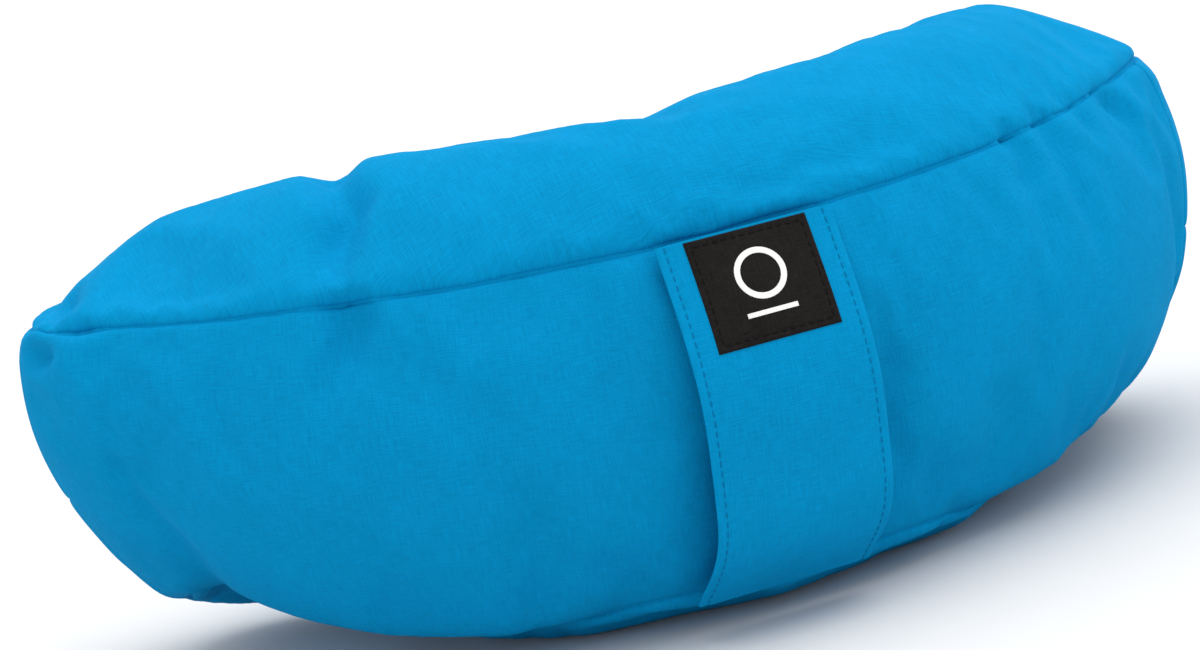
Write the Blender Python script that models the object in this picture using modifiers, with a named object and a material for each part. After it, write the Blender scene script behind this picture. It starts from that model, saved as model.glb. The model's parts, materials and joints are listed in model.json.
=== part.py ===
"""Crescent floor cushion with a removable cover.

The cushion lies on its bottom panel. +X runs along its length from tip to tip,
-Y is the bulging front with the carry handle, +Y the hollow back with the zip,
and +Z is up. All sizes are in metres.

From the outside in, the layers are the cotton cover with its zip, the liner bag
with its own zip, and the loose hull filling.
"""

import math

import bmesh
import bpy
from mathutils import Matrix, Vector

# Overall shape, measured on the sewn seams of the cover
SEAM_LENGTH = 0.430
FRONT_DEPTH = 0.130
LOBE_RADIUS = 0.056
NOTCH_DEPTH = 0.034
BAND_HEIGHT = 0.126
BOTTOM_SEAM_RISE = 0.009
TIP_DROP = 0.012
TIP_LIFT = 0.026
TIP_POWER = 2.6

# How far the filling pushes each panel out between its seams
WALL_SWELL = 0.016
TOP_CROWN = 0.032
BOTTOM_BELLY = 0.024

# Fabrics and the clearances between layers
COVER_CLOTH = 0.0008
LINER_CLOTH = 0.0005
LAYER_CLEARANCE = 0.0005
FILLING_CLEARANCE = 0.0013
SEAM_CLEARANCE = 0.0003
SEAM_END_GAP = 0.0003
PANEL_END_TRIM = 0.0060
FILLING_END_TRIM = 0.0180

# Room behind the back band for the two zips
LINER_BACK_ROOM = 0.0095
FILLING_BACK_ROOM = 0.0026

# Carry handle and its label
HANDLE_WIDTH = 0.062
HANDLE_THICKNESS = 0.0018
HANDLE_STANDOFF = 0.0068
HANDLE_EDGE_STANDOFF = 0.0009
HANDLE_LEAN_MARGIN = math.radians(0.3)
HANDLE_GRIP_TOP = 0.062
HANDLE_GRIP_LENGTH = 0.030
LABEL_WIDTH = 0.043
LABEL_HEIGHT = 0.038
LABEL_THICKNESS = 0.0006
LABEL_TOP_MARGIN = 0.0015
LABEL_CORNER = 0.0012
EMBLEM_RADIUS = 0.0105
EMBLEM_LINE = 0.0016
EMBLEM_THICKNESS = 0.0003

# Coil zips
TAPE_WIDTH = 0.0130
TAPE_THICKNESS = 0.0005
CHAIN_SLIT = 0.0012
COIL_WIDTH = 0.0026
COIL_THICKNESS = 0.0014
ZIP_CHANNEL = 0.0124
ZIP_CLEARANCE = 0.0003
COVER_ZIP_LENGTH = 0.196
LINER_ZIP_LENGTH = 0.150
TAPE_TAIL = 0.012
STOP_LENGTH = 0.0030
STOP_THICKNESS = 0.0012
STOP_EDGE = 0.0003
SLIDER_LENGTH = 0.0110
SLIDER_PLATE = 0.0010
SLIDER_LIP = 0.0010
SLIDER_WEB = 0.0006
SLIDER_EDGE = 0.00018
BRIDGE_LENGTH = 0.0074
BRIDGE_WIDTH = 0.0022
BRIDGE_BAR = 0.0009
PULL_BAR = 0.0012
PULL_LENGTH = 0.0230
PULL_WIDTH = 0.0062
PULL_CORNER = 0.0006
PULL_HOLE_RADIUS = 0.0014

# Fineness of the lofted panels
STATIONS = 32
PANEL_ROWS = 6
BAND_ROWS = 6
HALF_BAND_ROWS = 2

MID_HEIGHT = BOTTOM_SEAM_RISE + BAND_HEIGHT / 2
HANDLE_REACH = FRONT_DEPTH + WALL_SWELL + HANDLE_STANDOFF + HANDLE_THICKNESS
HANDLE_LEAN = math.atan(math.pi * WALL_SWELL / BAND_HEIGHT) + HANDLE_LEAN_MARGIN
LOBE_REACH = LOBE_RADIUS + WALL_SWELL
CHORD_Y = (HANDLE_REACH - LOBE_REACH) / 2
LOBE_SHARE = 0.625
ROOM_FADE = 0.2


# ---------------------------------------------------------------- basics


def clear_scene():
    for obj in list(bpy.data.objects):
        bpy.data.objects.remove(obj, do_unlink=True)


def new_collection(name, hidden=False):
    collection = bpy.data.collections.new(name)
    collection.hide_render = hidden
    bpy.context.scene.collection.children.link(collection)
    return collection


def finish_material(name, color, roughness, metallic=0.0):
    material = bpy.data.materials.new(name)
    material.use_nodes = True
    shader = material.node_tree.nodes["Principled BSDF"]
    shader.inputs["Base Color"].default_value = (*color, 1.0)
    shader.inputs["Roughness"].default_value = roughness
    shader.inputs["Metallic"].default_value = metallic
    material.diffuse_color = (*color, 1.0)
    return material


def add_object(name, data, material, collection):
    obj = bpy.data.objects.new(name, data)
    data.materials.append(material)
    collection.objects.link(obj)
    return obj


def add_bevel(obj, width, segments=1):
    bevel = obj.modifiers.new("edges", "BEVEL")
    bevel.width = width
    bevel.segments = segments
    bevel.limit_method = "ANGLE"
    return bevel


def shade_round(mesh, degrees=35):
    mesh.shade_smooth()
    mesh.set_sharp_from_angle(angle=math.radians(degrees))


# ------------------------------------------------- the crescent's outline


class Outline:
    """The plan of the cushion at one height, in three kinds of arc.

    A wide front arc, a round lobe at each tip and a hollow back arc run into each
    other without a corner. Depths are measured from the line through the lobes'
    centres. level runs from 0 on the top seam to 1 on the bottom seam, inset moves
    the whole outline inwards, and back_room moves the hollow arc in further, fading
    out where it runs into the lobes.
    """

    def __init__(self, level, inset, back_room):
        swell = math.sin(math.pi * level)
        grown = WALL_SWELL * swell - inset
        self.lobe_x = SEAM_LENGTH / 2 - LOBE_RADIUS
        self.lobe_radius = LOBE_RADIUS + grown
        front_rise = FRONT_DEPTH - LOBE_RADIUS
        self.front_centre = (self.lobe_x**2 - front_rise**2) / (2 * front_rise)
        self.front_radius = self.front_centre + FRONT_DEPTH + grown
        self.back_centre = (self.lobe_x**2 - NOTCH_DEPTH**2) / (2 * NOTCH_DEPTH)
        self.back_radius = self.back_centre + NOTCH_DEPTH - self.lobe_radius
        self.room = back_room * swell
        self.front_sweep = math.atan2(self.lobe_x, self.front_centre)
        self.back_sweep = math.atan2(self.lobe_x, self.back_centre)

    def front(self, along):
        angle = along * self.front_sweep
        x = self.front_radius * math.sin(angle)
        y = self.front_centre - self.front_radius * math.cos(angle)
        return x, y + CHORD_Y

    def back(self, along):
        side = math.copysign(1.0, along)
        share = abs(along) / (1 - LOBE_SHARE)
        if share <= 1:
            angle = share * self.back_sweep
            radius = self.back_radius + self.room * min(1.0, (1 - share) / ROOM_FADE)
            x = radius * math.sin(angle)
            y = self.back_centre - radius * math.cos(angle)
        else:
            rest = (1 - abs(along)) / LOBE_SHARE
            angle = self.front_sweep + (math.pi + self.back_sweep - self.front_sweep) * rest
            x = self.lobe_x + self.lobe_radius * math.sin(angle)
            y = -self.lobe_radius * math.cos(angle)
        return side * x, y + CHORD_Y

    def back_angle(self, angle):
        """The along value of a point on the hollow arc at this angle from its middle."""
        return angle / self.back_sweep * (1 - LOBE_SHARE)


def top_height(along, inset):
    return BOTTOM_SEAM_RISE + BAND_HEIGHT - inset - TIP_DROP * abs(along) ** TIP_POWER


def bottom_height(along, inset):
    return BOTTOM_SEAM_RISE + inset + TIP_LIFT * abs(along) ** TIP_POWER


def band_point(side, along, level, inset, back_room=0.0):
    """A point on the front or back wall; along runs from -1 to 1 between the tips."""
    outline = Outline(level, inset, back_room)
    x, y = outline.front(along) if side == "front" else outline.back(along)
    top = top_height(along, inset)
    z = top + (bottom_height(along, inset) - top) * level
    return Vector((x, y, z))


def level_at(along, rise, inset):
    """The level of the wall that lies this far above the zip's line."""
    top = top_height(along, inset)
    height = top - bottom_height(along, inset)
    return (top - MID_HEIGHT - rise) / height


def fullness(along):
    """How much of the middle's crown a panel keeps as it narrows towards a tip."""
    return 1 - abs(along) ** 4


def panel_point(along, across, inset, top, back_room=0.0):
    """A point on the top or bottom panel; across runs from the front seam to the back seam."""
    level = 0.0 if top else 1.0
    outline = Outline(level, inset, back_room)
    front = Vector(outline.front(along))
    back = Vector(outline.back(along))
    spot = front.lerp(back, across)
    dome = math.sin(math.pi * across) * fullness(along)
    if top:
        z = top_height(along, inset) + TOP_CROWN * dome
    else:
        z = max(inset, bottom_height(along, inset) - BOTTOM_BELLY * dome)
    return Vector((spot.x, spot.y, z))


# ------------------------------------------------------ lofts and sheets


def spread(count, low=0.0, high=1.0):
    return [low + (high - low) * i / count for i in range(count + 1)]


def stations(end):
    """The along values of the rings, the same for every layer, cut short at the ends."""
    return [max(-end, min(end, along)) for along in spread(STATIONS, -1.0, 1.0)]


def lofted_mesh(name, rows):
    """Quads between neighbouring rows of points."""
    form = bmesh.new()
    grid = [[form.verts.new(point) for point in row] for row in rows]
    for first, second in zip(grid, grid[1:]):
        for i in range(len(first) - 1):
            form.faces.new((first[i], first[i + 1], second[i + 1], second[i]))
    mesh = bpy.data.meshes.new(name)
    form.to_mesh(mesh)
    form.free()
    mesh.shade_smooth()
    return mesh


def add_sheet(name, rows, thickness, material, collection):
    """A cloth sheet whose outer face is lofted through rows and which thickens inwards."""
    obj = add_object(name, lofted_mesh(name, rows), material, collection)
    solidify = obj.modifiers.new("cloth", "SOLIDIFY")
    solidify.thickness = thickness
    solidify.offset = -1
    solidify.use_even_offset = True
    return obj


def panel_rows(inset, top, back_room):
    rows = []
    outline = Outline(0.0, inset, back_room)
    end = 1 - PANEL_END_TRIM / (outline.front_radius * outline.front_sweep)
    steps = spread(PANEL_ROWS) if top else spread(PANEL_ROWS, 1.0, 0.0)
    for across in steps:
        row = [panel_point(u, across, inset, top, back_room) for u in stations(end)]
        rows.append(row)
    return rows


def band_rows(side, inset, back_room, part="whole", open_reach=0.0):
    """Rows of a whole wall, or of its upper or lower part beside the zip's channel.

    A part has a row at the zip tape's outer edge, so that the tape lies flat behind it.
    The channel stays open for a station past open_reach from the middle, then closes.
    """
    outline = Outline(0.5, inset, back_room)
    end = 1 - SEAM_END_GAP / (outline.front_radius * outline.front_sweep)
    open_along = outline.back_angle(open_reach / outline.back_radius) + 2 / STATIONS
    tape_rise = CHAIN_SLIT / 2 + TAPE_WIDTH
    columns = []
    for along in stations(end):
        height = top_height(along, inset) - bottom_height(along, inset)
        seam_step = (COVER_CLOTH + SEAM_CLEARANCE) / height
        channel = ZIP_CHANNEL / 2 if abs(along) < open_along else SEAM_CLEARANCE
        if part == "whole":
            levels = spread(BAND_ROWS, seam_step, 1 - seam_step)
        elif part == "upper":
            levels = spread(HALF_BAND_ROWS, seam_step, level_at(along, tape_rise, inset))
            levels.append(level_at(along, channel, inset))
        else:
            levels = spread(HALF_BAND_ROWS, level_at(along, -tape_rise, inset), 1 - seam_step)
            levels.insert(0, level_at(along, -channel, inset))
        columns.append([band_point(side, along, level, inset, back_room) for level in levels])
    rows = [list(row) for row in zip(*columns)]
    return rows[::-1] if side == "front" else rows


# ------------------------------------------------------------- the bags


def build_bag(prefix, inset, back_room, cloth, open_reach, material, collection):
    """The five sewn panels of a bag whose back wall is split along its zip."""
    pieces = (
        ("top_panel", panel_rows(inset, True, back_room)),
        ("bottom_panel", panel_rows(inset, False, back_room)),
        ("front_band", band_rows("front", inset, back_room)),
        ("back_band_upper", band_rows("back", inset, back_room, "upper", open_reach)),
        ("back_band_lower", band_rows("back", inset, back_room, "lower", open_reach)),
    )
    for name, rows in pieces:
        add_sheet(f"{prefix}_{name}", rows, cloth, material, collection)


def build_filling(inset, back_room, material, collection):
    """The hull filling, one closed body lofted from tip to tip."""
    form = bmesh.new()
    rings = []
    end = 1 - FILLING_END_TRIM / SEAM_LENGTH
    for along in stations(end):
        ring = [panel_point(along, a, inset, True, back_room) for a in spread(PANEL_ROWS)]
        ring += [band_point("back", along, v, inset, back_room) for v in spread(BAND_ROWS)[1:-1]]
        ring += [panel_point(along, a, inset, False, back_room) for a in spread(PANEL_ROWS, 1, 0)]
        ring += [band_point("front", along, v, inset, back_room) for v in spread(BAND_ROWS, 1, 0)[1:-1]]
        rings.append([form.verts.new(point) for point in ring])
    for first, second in zip(rings, rings[1:]):
        for i in range(len(first)):
            j = (i + 1) % len(first)
            form.faces.new((first[i], first[j], second[j], second[i]))
    form.faces.new(rings[0][::-1])
    form.faces.new(rings[-1])
    bmesh.ops.recalc_face_normals(form, faces=form.faces)
    mesh = bpy.data.meshes.new("filling")
    form.to_mesh(mesh)
    form.free()
    mesh.shade_smooth()
    return add_object("filling", mesh, material, collection)


# -------------------------------------------------------------- the zips


class ZipPath:
    """The level circle that a zip's chain follows along the middle of a back wall."""

    def __init__(self, inset, back_room, cloth, length):
        outline = Outline(0.5, inset, back_room)
        self.inset = inset
        self.back_room = back_room
        self.centre_y = outline.back_centre + CHORD_Y
        self.radius = outline.back_radius + outline.room
        self.outline = outline
        self.tape_depth = cloth + ZIP_CLEARANCE
        self.coil_depth = self.tape_depth - ZIP_CLEARANCE - COIL_THICKNESS
        self.coil_end = length / 2 / self.radius
        self.tape_end = self.coil_end + TAPE_TAIL / self.radius

    def point(self, angle, rise, depth):
        radius = self.radius + depth
        y = self.centre_y - radius * math.cos(angle)
        return Vector((radius * math.sin(angle), y, MID_HEIGHT + rise))

    def tape_point(self, angle, rise):
        """A point on the tape's outer face, which follows the wall behind the cloth."""
        along = self.outline.back_angle(angle)
        level = level_at(along, rise, self.inset)
        wall = band_point("back", along, level, self.inset + self.tape_depth, self.back_room)
        return Vector((wall.x, wall.y, MID_HEIGHT + rise))


def build_chain(prefix, path, tape_material, coil_material, collection):
    inner = CHAIN_SLIT / 2
    for side, sign in (("upper", 1), ("lower", -1)):
        angles = spread(STATIONS, -path.tape_end, path.tape_end)
        near = [path.tape_point(angle, sign * inner) for angle in angles]
        far = [path.tape_point(angle, sign * (inner + TAPE_WIDTH)) for angle in angles]
        rows = [far, near] if sign > 0 else [near, far]
        add_sheet(f"{prefix}_zip_tape_{side}", rows, TAPE_THICKNESS, tape_material, collection)
        angles = spread(STATIONS, -path.coil_end, path.coil_end)
        rises = sorted((sign * inner, sign * (inner + COIL_WIDTH)), reverse=True)
        rows = [[path.point(angle, rise, path.coil_depth) for angle in angles] for rise in rises]
        add_sheet(f"{prefix}_zip_coil_{side}", rows, COIL_THICKNESS, coil_material, collection)


def outline_curve(name, outlines, half_depth):
    """A flat filled curve, extruded by half_depth each way along its local Z."""
    curve = bpy.data.curves.new(name, "CURVE")
    curve.dimensions = "2D"
    curve.fill_mode = "BOTH"
    curve.extrude = half_depth
    for corners in outlines:
        spline = curve.splines.new("POLY")
        spline.points.add(len(corners) - 1)
        for point, (x, y) in zip(spline.points, corners):
            point.co = (x, y, 0.0, 1.0)
        spline.use_cyclic_u = True
    return curve


def curve_to_mesh(name, curve, turn):
    """The curve's solid as a mesh, welded and turned by a matrix."""
    holder = bpy.data.objects.new(name, curve)
    bpy.context.scene.collection.objects.link(holder)
    bpy.context.view_layer.update()
    evaluated = holder.evaluated_get(bpy.context.evaluated_depsgraph_get())
    mesh = bpy.data.meshes.new_from_object(evaluated)
    bpy.data.objects.remove(holder, do_unlink=True)
    form = bmesh.new()
    form.from_mesh(mesh)
    bmesh.ops.remove_doubles(form, verts=form.verts, dist=1e-6)
    bmesh.ops.transform(form, matrix=turn, verts=form.verts)
    bmesh.ops.recalc_face_normals(form, faces=form.faces)
    form.to_mesh(mesh)
    form.free()
    mesh.name = name
    return mesh


def rounded_rectangle(left, right, low, high, corner, steps=3):
    points = []
    for x, y, start in (
        (right - corner, high - corner, 0),
        (left + corner, high - corner, 90),
        (left + corner, low + corner, 180),
        (right - corner, low + corner, 270),
    ):
        for angle in spread(steps, math.radians(start), math.radians(start + 90)):
            points.append((x + corner * math.cos(angle), y + corner * math.sin(angle)))
    return points


def circle_points(x, y, radius, count):
    turn = 2 * math.pi / count
    return [(x + radius * math.cos(i * turn), y + radius * math.sin(i * turn)) for i in range(count)]


def slider_section(path):
    """Half of the slider's end view, as (outward, up) corners from the middle upwards."""
    coil_edge = CHAIN_SLIT / 2 + COIL_WIDTH
    lip_low = coil_edge + ZIP_CLEARANCE
    edge = lip_low + SLIDER_LIP
    outer_low = -path.coil_depth + ZIP_CLEARANCE
    outer_high = outer_low + SLIDER_PLATE
    lip_reach = -path.tape_depth + ZIP_CLEARANCE
    inner_high = -path.tape_depth - TAPE_THICKNESS - 2 * ZIP_CLEARANCE
    inner_low = inner_high - SLIDER_PLATE
    web = SLIDER_WEB / 2
    upper = [
        (outer_high, edge),
        (lip_reach, edge),
        (lip_reach, lip_low),
        (outer_low, lip_low),
        (outer_low, web),
        (inner_high, web),
        (inner_high, edge),
        (inner_low, edge),
    ]
    return upper + [(out, -up) for out, up in reversed(upper)]


def build_slider(name, path, material, collection, tools):
    """The slider and its bridge, in its own frame: X along the chain and Y outwards."""
    section = outline_curve(name, [slider_section(path)], SLIDER_LENGTH / 2)
    # The section's x is outwards (+Y) and its y is up (+Z), extruded along X.
    turn = Matrix(((0, 0, 1, 0), (1, 0, 0, 0), (0, 1, 0, 0), (0, 0, 0, 1)))
    slider = add_object(name, curve_to_mesh(name, section, turn), material, collection)
    plate = -path.coil_depth + ZIP_CLEARANCE + SLIDER_PLATE
    under = plate + PULL_BAR + 2 * ZIP_CLEARANCE
    half = BRIDGE_LENGTH / 2
    arch = [
        (-half, plate - SLIDER_PLATE / 2),
        (-half, under + BRIDGE_BAR),
        (half, under + BRIDGE_BAR),
        (half, plate - SLIDER_PLATE / 2),
        (half - BRIDGE_BAR, plate - SLIDER_PLATE / 2),
        (half - BRIDGE_BAR, under),
        (-half + BRIDGE_BAR, under),
        (-half + BRIDGE_BAR, plate - SLIDER_PLATE / 2),
    ]
    bridge_name = f"{name}_bridge"
    flat = outline_curve(bridge_name, [arch], BRIDGE_WIDTH / 2)
    bridge = add_object(bridge_name, curve_to_mesh(bridge_name, flat, Matrix()), material, tools)
    bridge.display_type = "WIRE"
    bridge.hide_render = True
    bridge.parent = slider
    union = slider.modifiers.new("bridge", "BOOLEAN")
    union.operation = "UNION"
    union.object = bridge
    add_bevel(slider, SLIDER_EDGE)
    shade_round(slider.data)
    return slider, plate


def build_pull(name, plate, material, collection):
    """The pull tab in its own frame: its origin is on the bar that turns under the bridge."""
    eye_side = BRIDGE_WIDTH / 2 + ZIP_CLEARANCE
    eye_end = BRIDGE_LENGTH / 2 + 2 * ZIP_CLEARANCE
    outer = rounded_rectangle(
        -PULL_LENGTH, PULL_BAR / 2, -PULL_WIDTH / 2, PULL_WIDTH / 2, PULL_CORNER
    )
    eye = rounded_rectangle(-eye_end, -PULL_BAR / 2, -eye_side, eye_side, PULL_BAR / 4, 1)
    hole = circle_points(-PULL_LENGTH + PULL_WIDTH / 2, 0, PULL_HOLE_RADIUS, 12)
    flat = outline_curve(name, [outer, eye, hole], PULL_BAR / 2)
    # The outline's y is up (+Z) and its thickness is outwards (+Y).
    turn = Matrix(((1, 0, 0, 0), (0, 0, -1, 0), (0, 1, 0, 0), (0, 0, 0, 1)))
    pull = add_object(name, curve_to_mesh(name, flat, turn), material, collection)
    shade_round(pull.data)
    return pull


def build_zip(prefix, path, materials, collection, tools):
    """Tapes, coils, end stops, slider and pull of one zip, closed, its slider at the +X end."""
    build_chain(prefix, path, materials["tape"], materials["coil"], collection)
    stop_half = CHAIN_SLIT / 2 + COIL_WIDTH
    stop_angle = path.coil_end + (ZIP_CLEARANCE + STOP_LENGTH / 2) / path.radius
    for side, sign in (("left", -1), ("right", 1)):
        name = f"{prefix}_zip_stop_{side}"
        mesh = bpy.data.meshes.new(name)
        form = bmesh.new()
        bmesh.ops.create_cube(form, size=1.0)
        size = Vector((STOP_LENGTH, STOP_THICKNESS, 2 * stop_half))
        bmesh.ops.scale(form, vec=size, verts=form.verts)
        form.to_mesh(mesh)
        form.free()
        stop = add_object(name, mesh, materials["metal"], collection)
        depth = path.tape_depth - ZIP_CLEARANCE - STOP_THICKNESS / 2
        stop.location = path.point(sign * stop_angle, 0.0, depth)
        stop.rotation_euler.z = sign * stop_angle
        add_bevel(stop, STOP_EDGE)
    pivot = bpy.data.objects.new(f"{prefix}_zip_pivot", None)
    collection.objects.link(pivot)
    pivot.location = (0.0, path.centre_y, MID_HEIGHT)
    rest_angle = path.coil_end - (SLIDER_LENGTH / 2 + ZIP_CLEARANCE) / path.radius
    pivot.rotation_euler.z = rest_angle
    slider, plate = build_slider(f"{prefix}_zip_slider", path, materials["metal"], collection, tools)
    slider.parent = pivot
    slider.location = (0.0, -path.radius, 0.0)
    pull = build_pull(f"{prefix}_zip_pull_tab", plate, materials["metal"], collection)
    pull.parent = slider
    pull.location = (0.0, plate + ZIP_CLEARANCE + PULL_BAR / 2, 0.0)


# ------------------------------------------------- the handle and label


def handle_profile():
    """The handle's inner face seen from the side, as (outward, down) from the top seam.

    It leaves the top seam in a straight lean as long as the label, swings upright
    for the grip, and curves back to the bottom seam.
    """
    grip_out = WALL_SWELL + HANDLE_STANDOFF
    straight = LABEL_TOP_MARGIN + LABEL_HEIGHT + 3 * LABEL_TOP_MARGIN
    lean_down = straight * math.cos(HANDLE_LEAN)
    lean_out = HANDLE_EDGE_STANDOFF + straight * math.sin(HANDLE_LEAN)
    bottom = BAND_HEIGHT - COVER_CLOTH - SEAM_CLEARANCE
    grip_low = HANDLE_GRIP_TOP + HANDLE_GRIP_LENGTH
    upper = [(HANDLE_EDGE_STANDOFF, 0.0), (lean_out, lean_down)]
    for step in spread(3)[1:]:
        out = lean_out + (grip_out - lean_out) * math.sin(step * math.pi / 2)
        upper.append((out, lean_down + (HANDLE_GRIP_TOP - lean_down) * step))
    grip = [(grip_out, HANDLE_GRIP_TOP), (grip_out, grip_low)]
    lower = []
    for step in spread(5):
        out = HANDLE_EDGE_STANDOFF + (grip_out - HANDLE_EDGE_STANDOFF) * math.cos(step * math.pi / 2)
        lower.append((out, grip_low + (bottom - grip_low) * step))
    return upper, grip, lower


def handle_point(x, out, down):
    top = BOTTOM_SEAM_RISE + BAND_HEIGHT - COVER_CLOTH - SEAM_CLEARANCE
    return Vector((x, CHORD_Y - FRONT_DEPTH - out, top - down))


def shortened(points, start, end):
    """The same run of points with its first or last point moved in by a clearance."""
    points = [Vector(point) for point in points]
    if start:
        points[0] += (points[1] - points[0]).normalized() * SEAM_CLEARANCE / 2
    if end:
        points[-1] += (points[-2] - points[-1]).normalized() * SEAM_CLEARANCE / 2
    return points


def build_handle(cotton, label_cloth, print_white, collection):
    half = HANDLE_WIDTH / 2
    upper, grip, lower = handle_profile()
    runs = (
        ("handle_upper_leg", shortened(upper, False, True)),
        ("handle_grip", shortened(grip, True, True)),
        ("handle_lower_leg", shortened(lower, True, False)),
    )
    for name, run in runs:
        # The loft is the strap's inner face, so it thickens towards the front.
        rows = [[handle_point(x, *spot) for spot in run] for x in (-half, half)]
        obj = add_sheet(name, rows, HANDLE_THICKNESS, cotton, collection)
        obj.modifiers["cloth"].offset = 1
    out_of_strap = HANDLE_THICKNESS + SEAM_CLEARANCE
    # The label's local X runs across the strap, its Y up the lean and its Z outwards.
    tilt = Matrix.Rotation(math.pi / 2 - HANDLE_LEAN, 4, "X")
    start = handle_point(0.0, *upper[0])
    down = Vector((0.0, -math.sin(HANDLE_LEAN), -math.cos(HANDLE_LEAN)))
    out = Vector((0.0, -math.cos(HANDLE_LEAN), math.sin(HANDLE_LEAN)))
    middle = start + down * (LABEL_TOP_MARGIN + LABEL_HEIGHT / 2)
    corners = rounded_rectangle(
        -LABEL_WIDTH / 2, LABEL_WIDTH / 2, -LABEL_HEIGHT / 2, LABEL_HEIGHT / 2, LABEL_CORNER
    )
    flat = outline_curve("label_patch", [corners], LABEL_THICKNESS / 2)
    label = add_object("label_patch", curve_to_mesh("label_patch", flat, tilt), label_cloth, collection)
    label.location = middle + out * (out_of_strap + LABEL_THICKNESS / 2)
    ring = [
        circle_points(0, 0, EMBLEM_RADIUS, 40),
        circle_points(0, 0, EMBLEM_RADIUS - EMBLEM_LINE, 40),
    ]
    flat = outline_curve("label_emblem", ring, EMBLEM_THICKNESS / 2)
    emblem = add_object("label_emblem", curve_to_mesh("label_emblem", flat, tilt), print_white, collection)
    on_label = out_of_strap + LABEL_THICKNESS + SEAM_CLEARANCE + EMBLEM_THICKNESS / 2
    emblem.location = middle + out * on_label


# ------------------------------------------------------------------ main


def main():
    clear_scene()
    cushion = new_collection("crescent_cushion")
    tools = new_collection("tools", hidden=True)
    cotton = finish_material("turquoise_cotton", (0.004, 0.36, 0.70), 0.88)
    calico = finish_material("natural_calico", (0.72, 0.68, 0.58), 0.92)
    hulls = finish_material("buckwheat_hulls", (0.09, 0.055, 0.035), 0.80)
    label_cloth = finish_material("black_label_cloth", (0.018, 0.016, 0.016), 0.75)
    print_white = finish_material("white_print", (0.82, 0.82, 0.82), 0.60)
    cover_zip = {
        "tape": finish_material("blue_zip_tape", (0.004, 0.30, 0.60), 0.85),
        "coil": finish_material("blue_nylon_coil", (0.004, 0.27, 0.55), 0.40),
        "metal": finish_material("nickel_zip_metal", (0.62, 0.61, 0.59), 0.32, 1.0),
    }
    liner_zip = {
        "tape": finish_material("white_zip_tape", (0.76, 0.75, 0.72), 0.85),
        "coil": finish_material("white_nylon_coil", (0.80, 0.79, 0.76), 0.40),
        "metal": cover_zip["metal"],
    }
    liner_inset = COVER_CLOTH + LAYER_CLEARANCE
    filling_inset = liner_inset + LINER_CLOTH + FILLING_CLEARANCE
    cover_path = ZipPath(0.0, 0.0, COVER_CLOTH, COVER_ZIP_LENGTH)
    cover_open = COVER_ZIP_LENGTH / 2 + STOP_LENGTH
    build_bag("cover", 0.0, 0.0, COVER_CLOTH, cover_open, cotton, cushion)
    build_zip("cover", cover_path, cover_zip, cushion, tools)
    liner_path = ZipPath(liner_inset, LINER_BACK_ROOM, LINER_CLOTH, LINER_ZIP_LENGTH)
    liner_open = LINER_ZIP_LENGTH / 2 + STOP_LENGTH
    build_bag("liner", liner_inset, LINER_BACK_ROOM, LINER_CLOTH, liner_open, calico, cushion)
    build_zip("liner", liner_path, liner_zip, cushion, tools)
    build_filling(filling_inset, LINER_BACK_ROOM + FILLING_BACK_ROOM, hulls, cushion)
    build_handle(cotton, label_cloth, print_white, cushion)


main()
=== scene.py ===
"""Crescent floor cushion: sews, fills and dresses the cushion around its fixed frame."""

import json
import math

import bmesh
import bpy
import numpy as np
from bpy.props import FloatProperty, FloatVectorProperty, IntProperty, PointerProperty
from bpy.types import Operator, Panel, PropertyGroup
from mathutils import Matrix, Vector, geometry, noise


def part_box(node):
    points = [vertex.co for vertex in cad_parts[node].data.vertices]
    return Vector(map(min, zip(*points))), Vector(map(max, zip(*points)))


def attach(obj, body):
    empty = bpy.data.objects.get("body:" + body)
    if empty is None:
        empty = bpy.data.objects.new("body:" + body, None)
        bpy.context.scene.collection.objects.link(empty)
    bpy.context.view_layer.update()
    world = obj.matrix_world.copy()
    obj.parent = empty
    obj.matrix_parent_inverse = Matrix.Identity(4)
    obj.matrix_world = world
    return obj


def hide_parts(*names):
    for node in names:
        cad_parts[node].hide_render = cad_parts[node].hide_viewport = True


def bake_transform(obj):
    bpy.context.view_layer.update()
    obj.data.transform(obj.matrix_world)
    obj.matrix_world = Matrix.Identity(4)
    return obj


bl_info = {
    "name": "Crescent Cushion",
    "version": (1, 0, 0),
    "blender": (4, 5, 0),
    "location": "View3D > Sidebar > Cushion",
    "description": "Sews a filled crescent cushion with a zip, a carry strap and a label",
    "category": "Add Mesh",
}

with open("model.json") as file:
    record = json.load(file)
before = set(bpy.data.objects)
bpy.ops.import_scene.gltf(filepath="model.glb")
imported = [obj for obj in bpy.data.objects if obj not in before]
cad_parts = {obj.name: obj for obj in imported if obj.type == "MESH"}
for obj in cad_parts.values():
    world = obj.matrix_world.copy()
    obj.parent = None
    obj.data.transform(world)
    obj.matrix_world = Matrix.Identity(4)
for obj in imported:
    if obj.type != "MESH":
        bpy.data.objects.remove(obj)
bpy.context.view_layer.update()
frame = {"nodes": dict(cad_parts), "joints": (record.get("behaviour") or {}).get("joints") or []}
CUSHION = "cushion"
MM = 0.001

# The cut of the cover
HOLLOW_SHARE = 0.375  # how near an end the hollow's edges count, where a tip is 1
PANEL_REACH = 78 * MM  # from a seam to the full height of its panel's dome
ROLL_FROM = 0.76  # the level at which the wall starts to roll under
ROLL_CLEAR = 36 * MM  # half the width at the strap where it doesn't roll
BACK_ROLL = 0.6  # share of the roll that the back has
TUCK_FROM = 0.45  # share of the half length at which the ends start to draw in
TUCK_POWER = 1.6  # how late the ends draw in towards the bottom
RAISE_POWER = 3  # how late the bottom panel rises towards the ends
FLOOR_GAP = 0.3 * MM  # between the cushion and the floor

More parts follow.
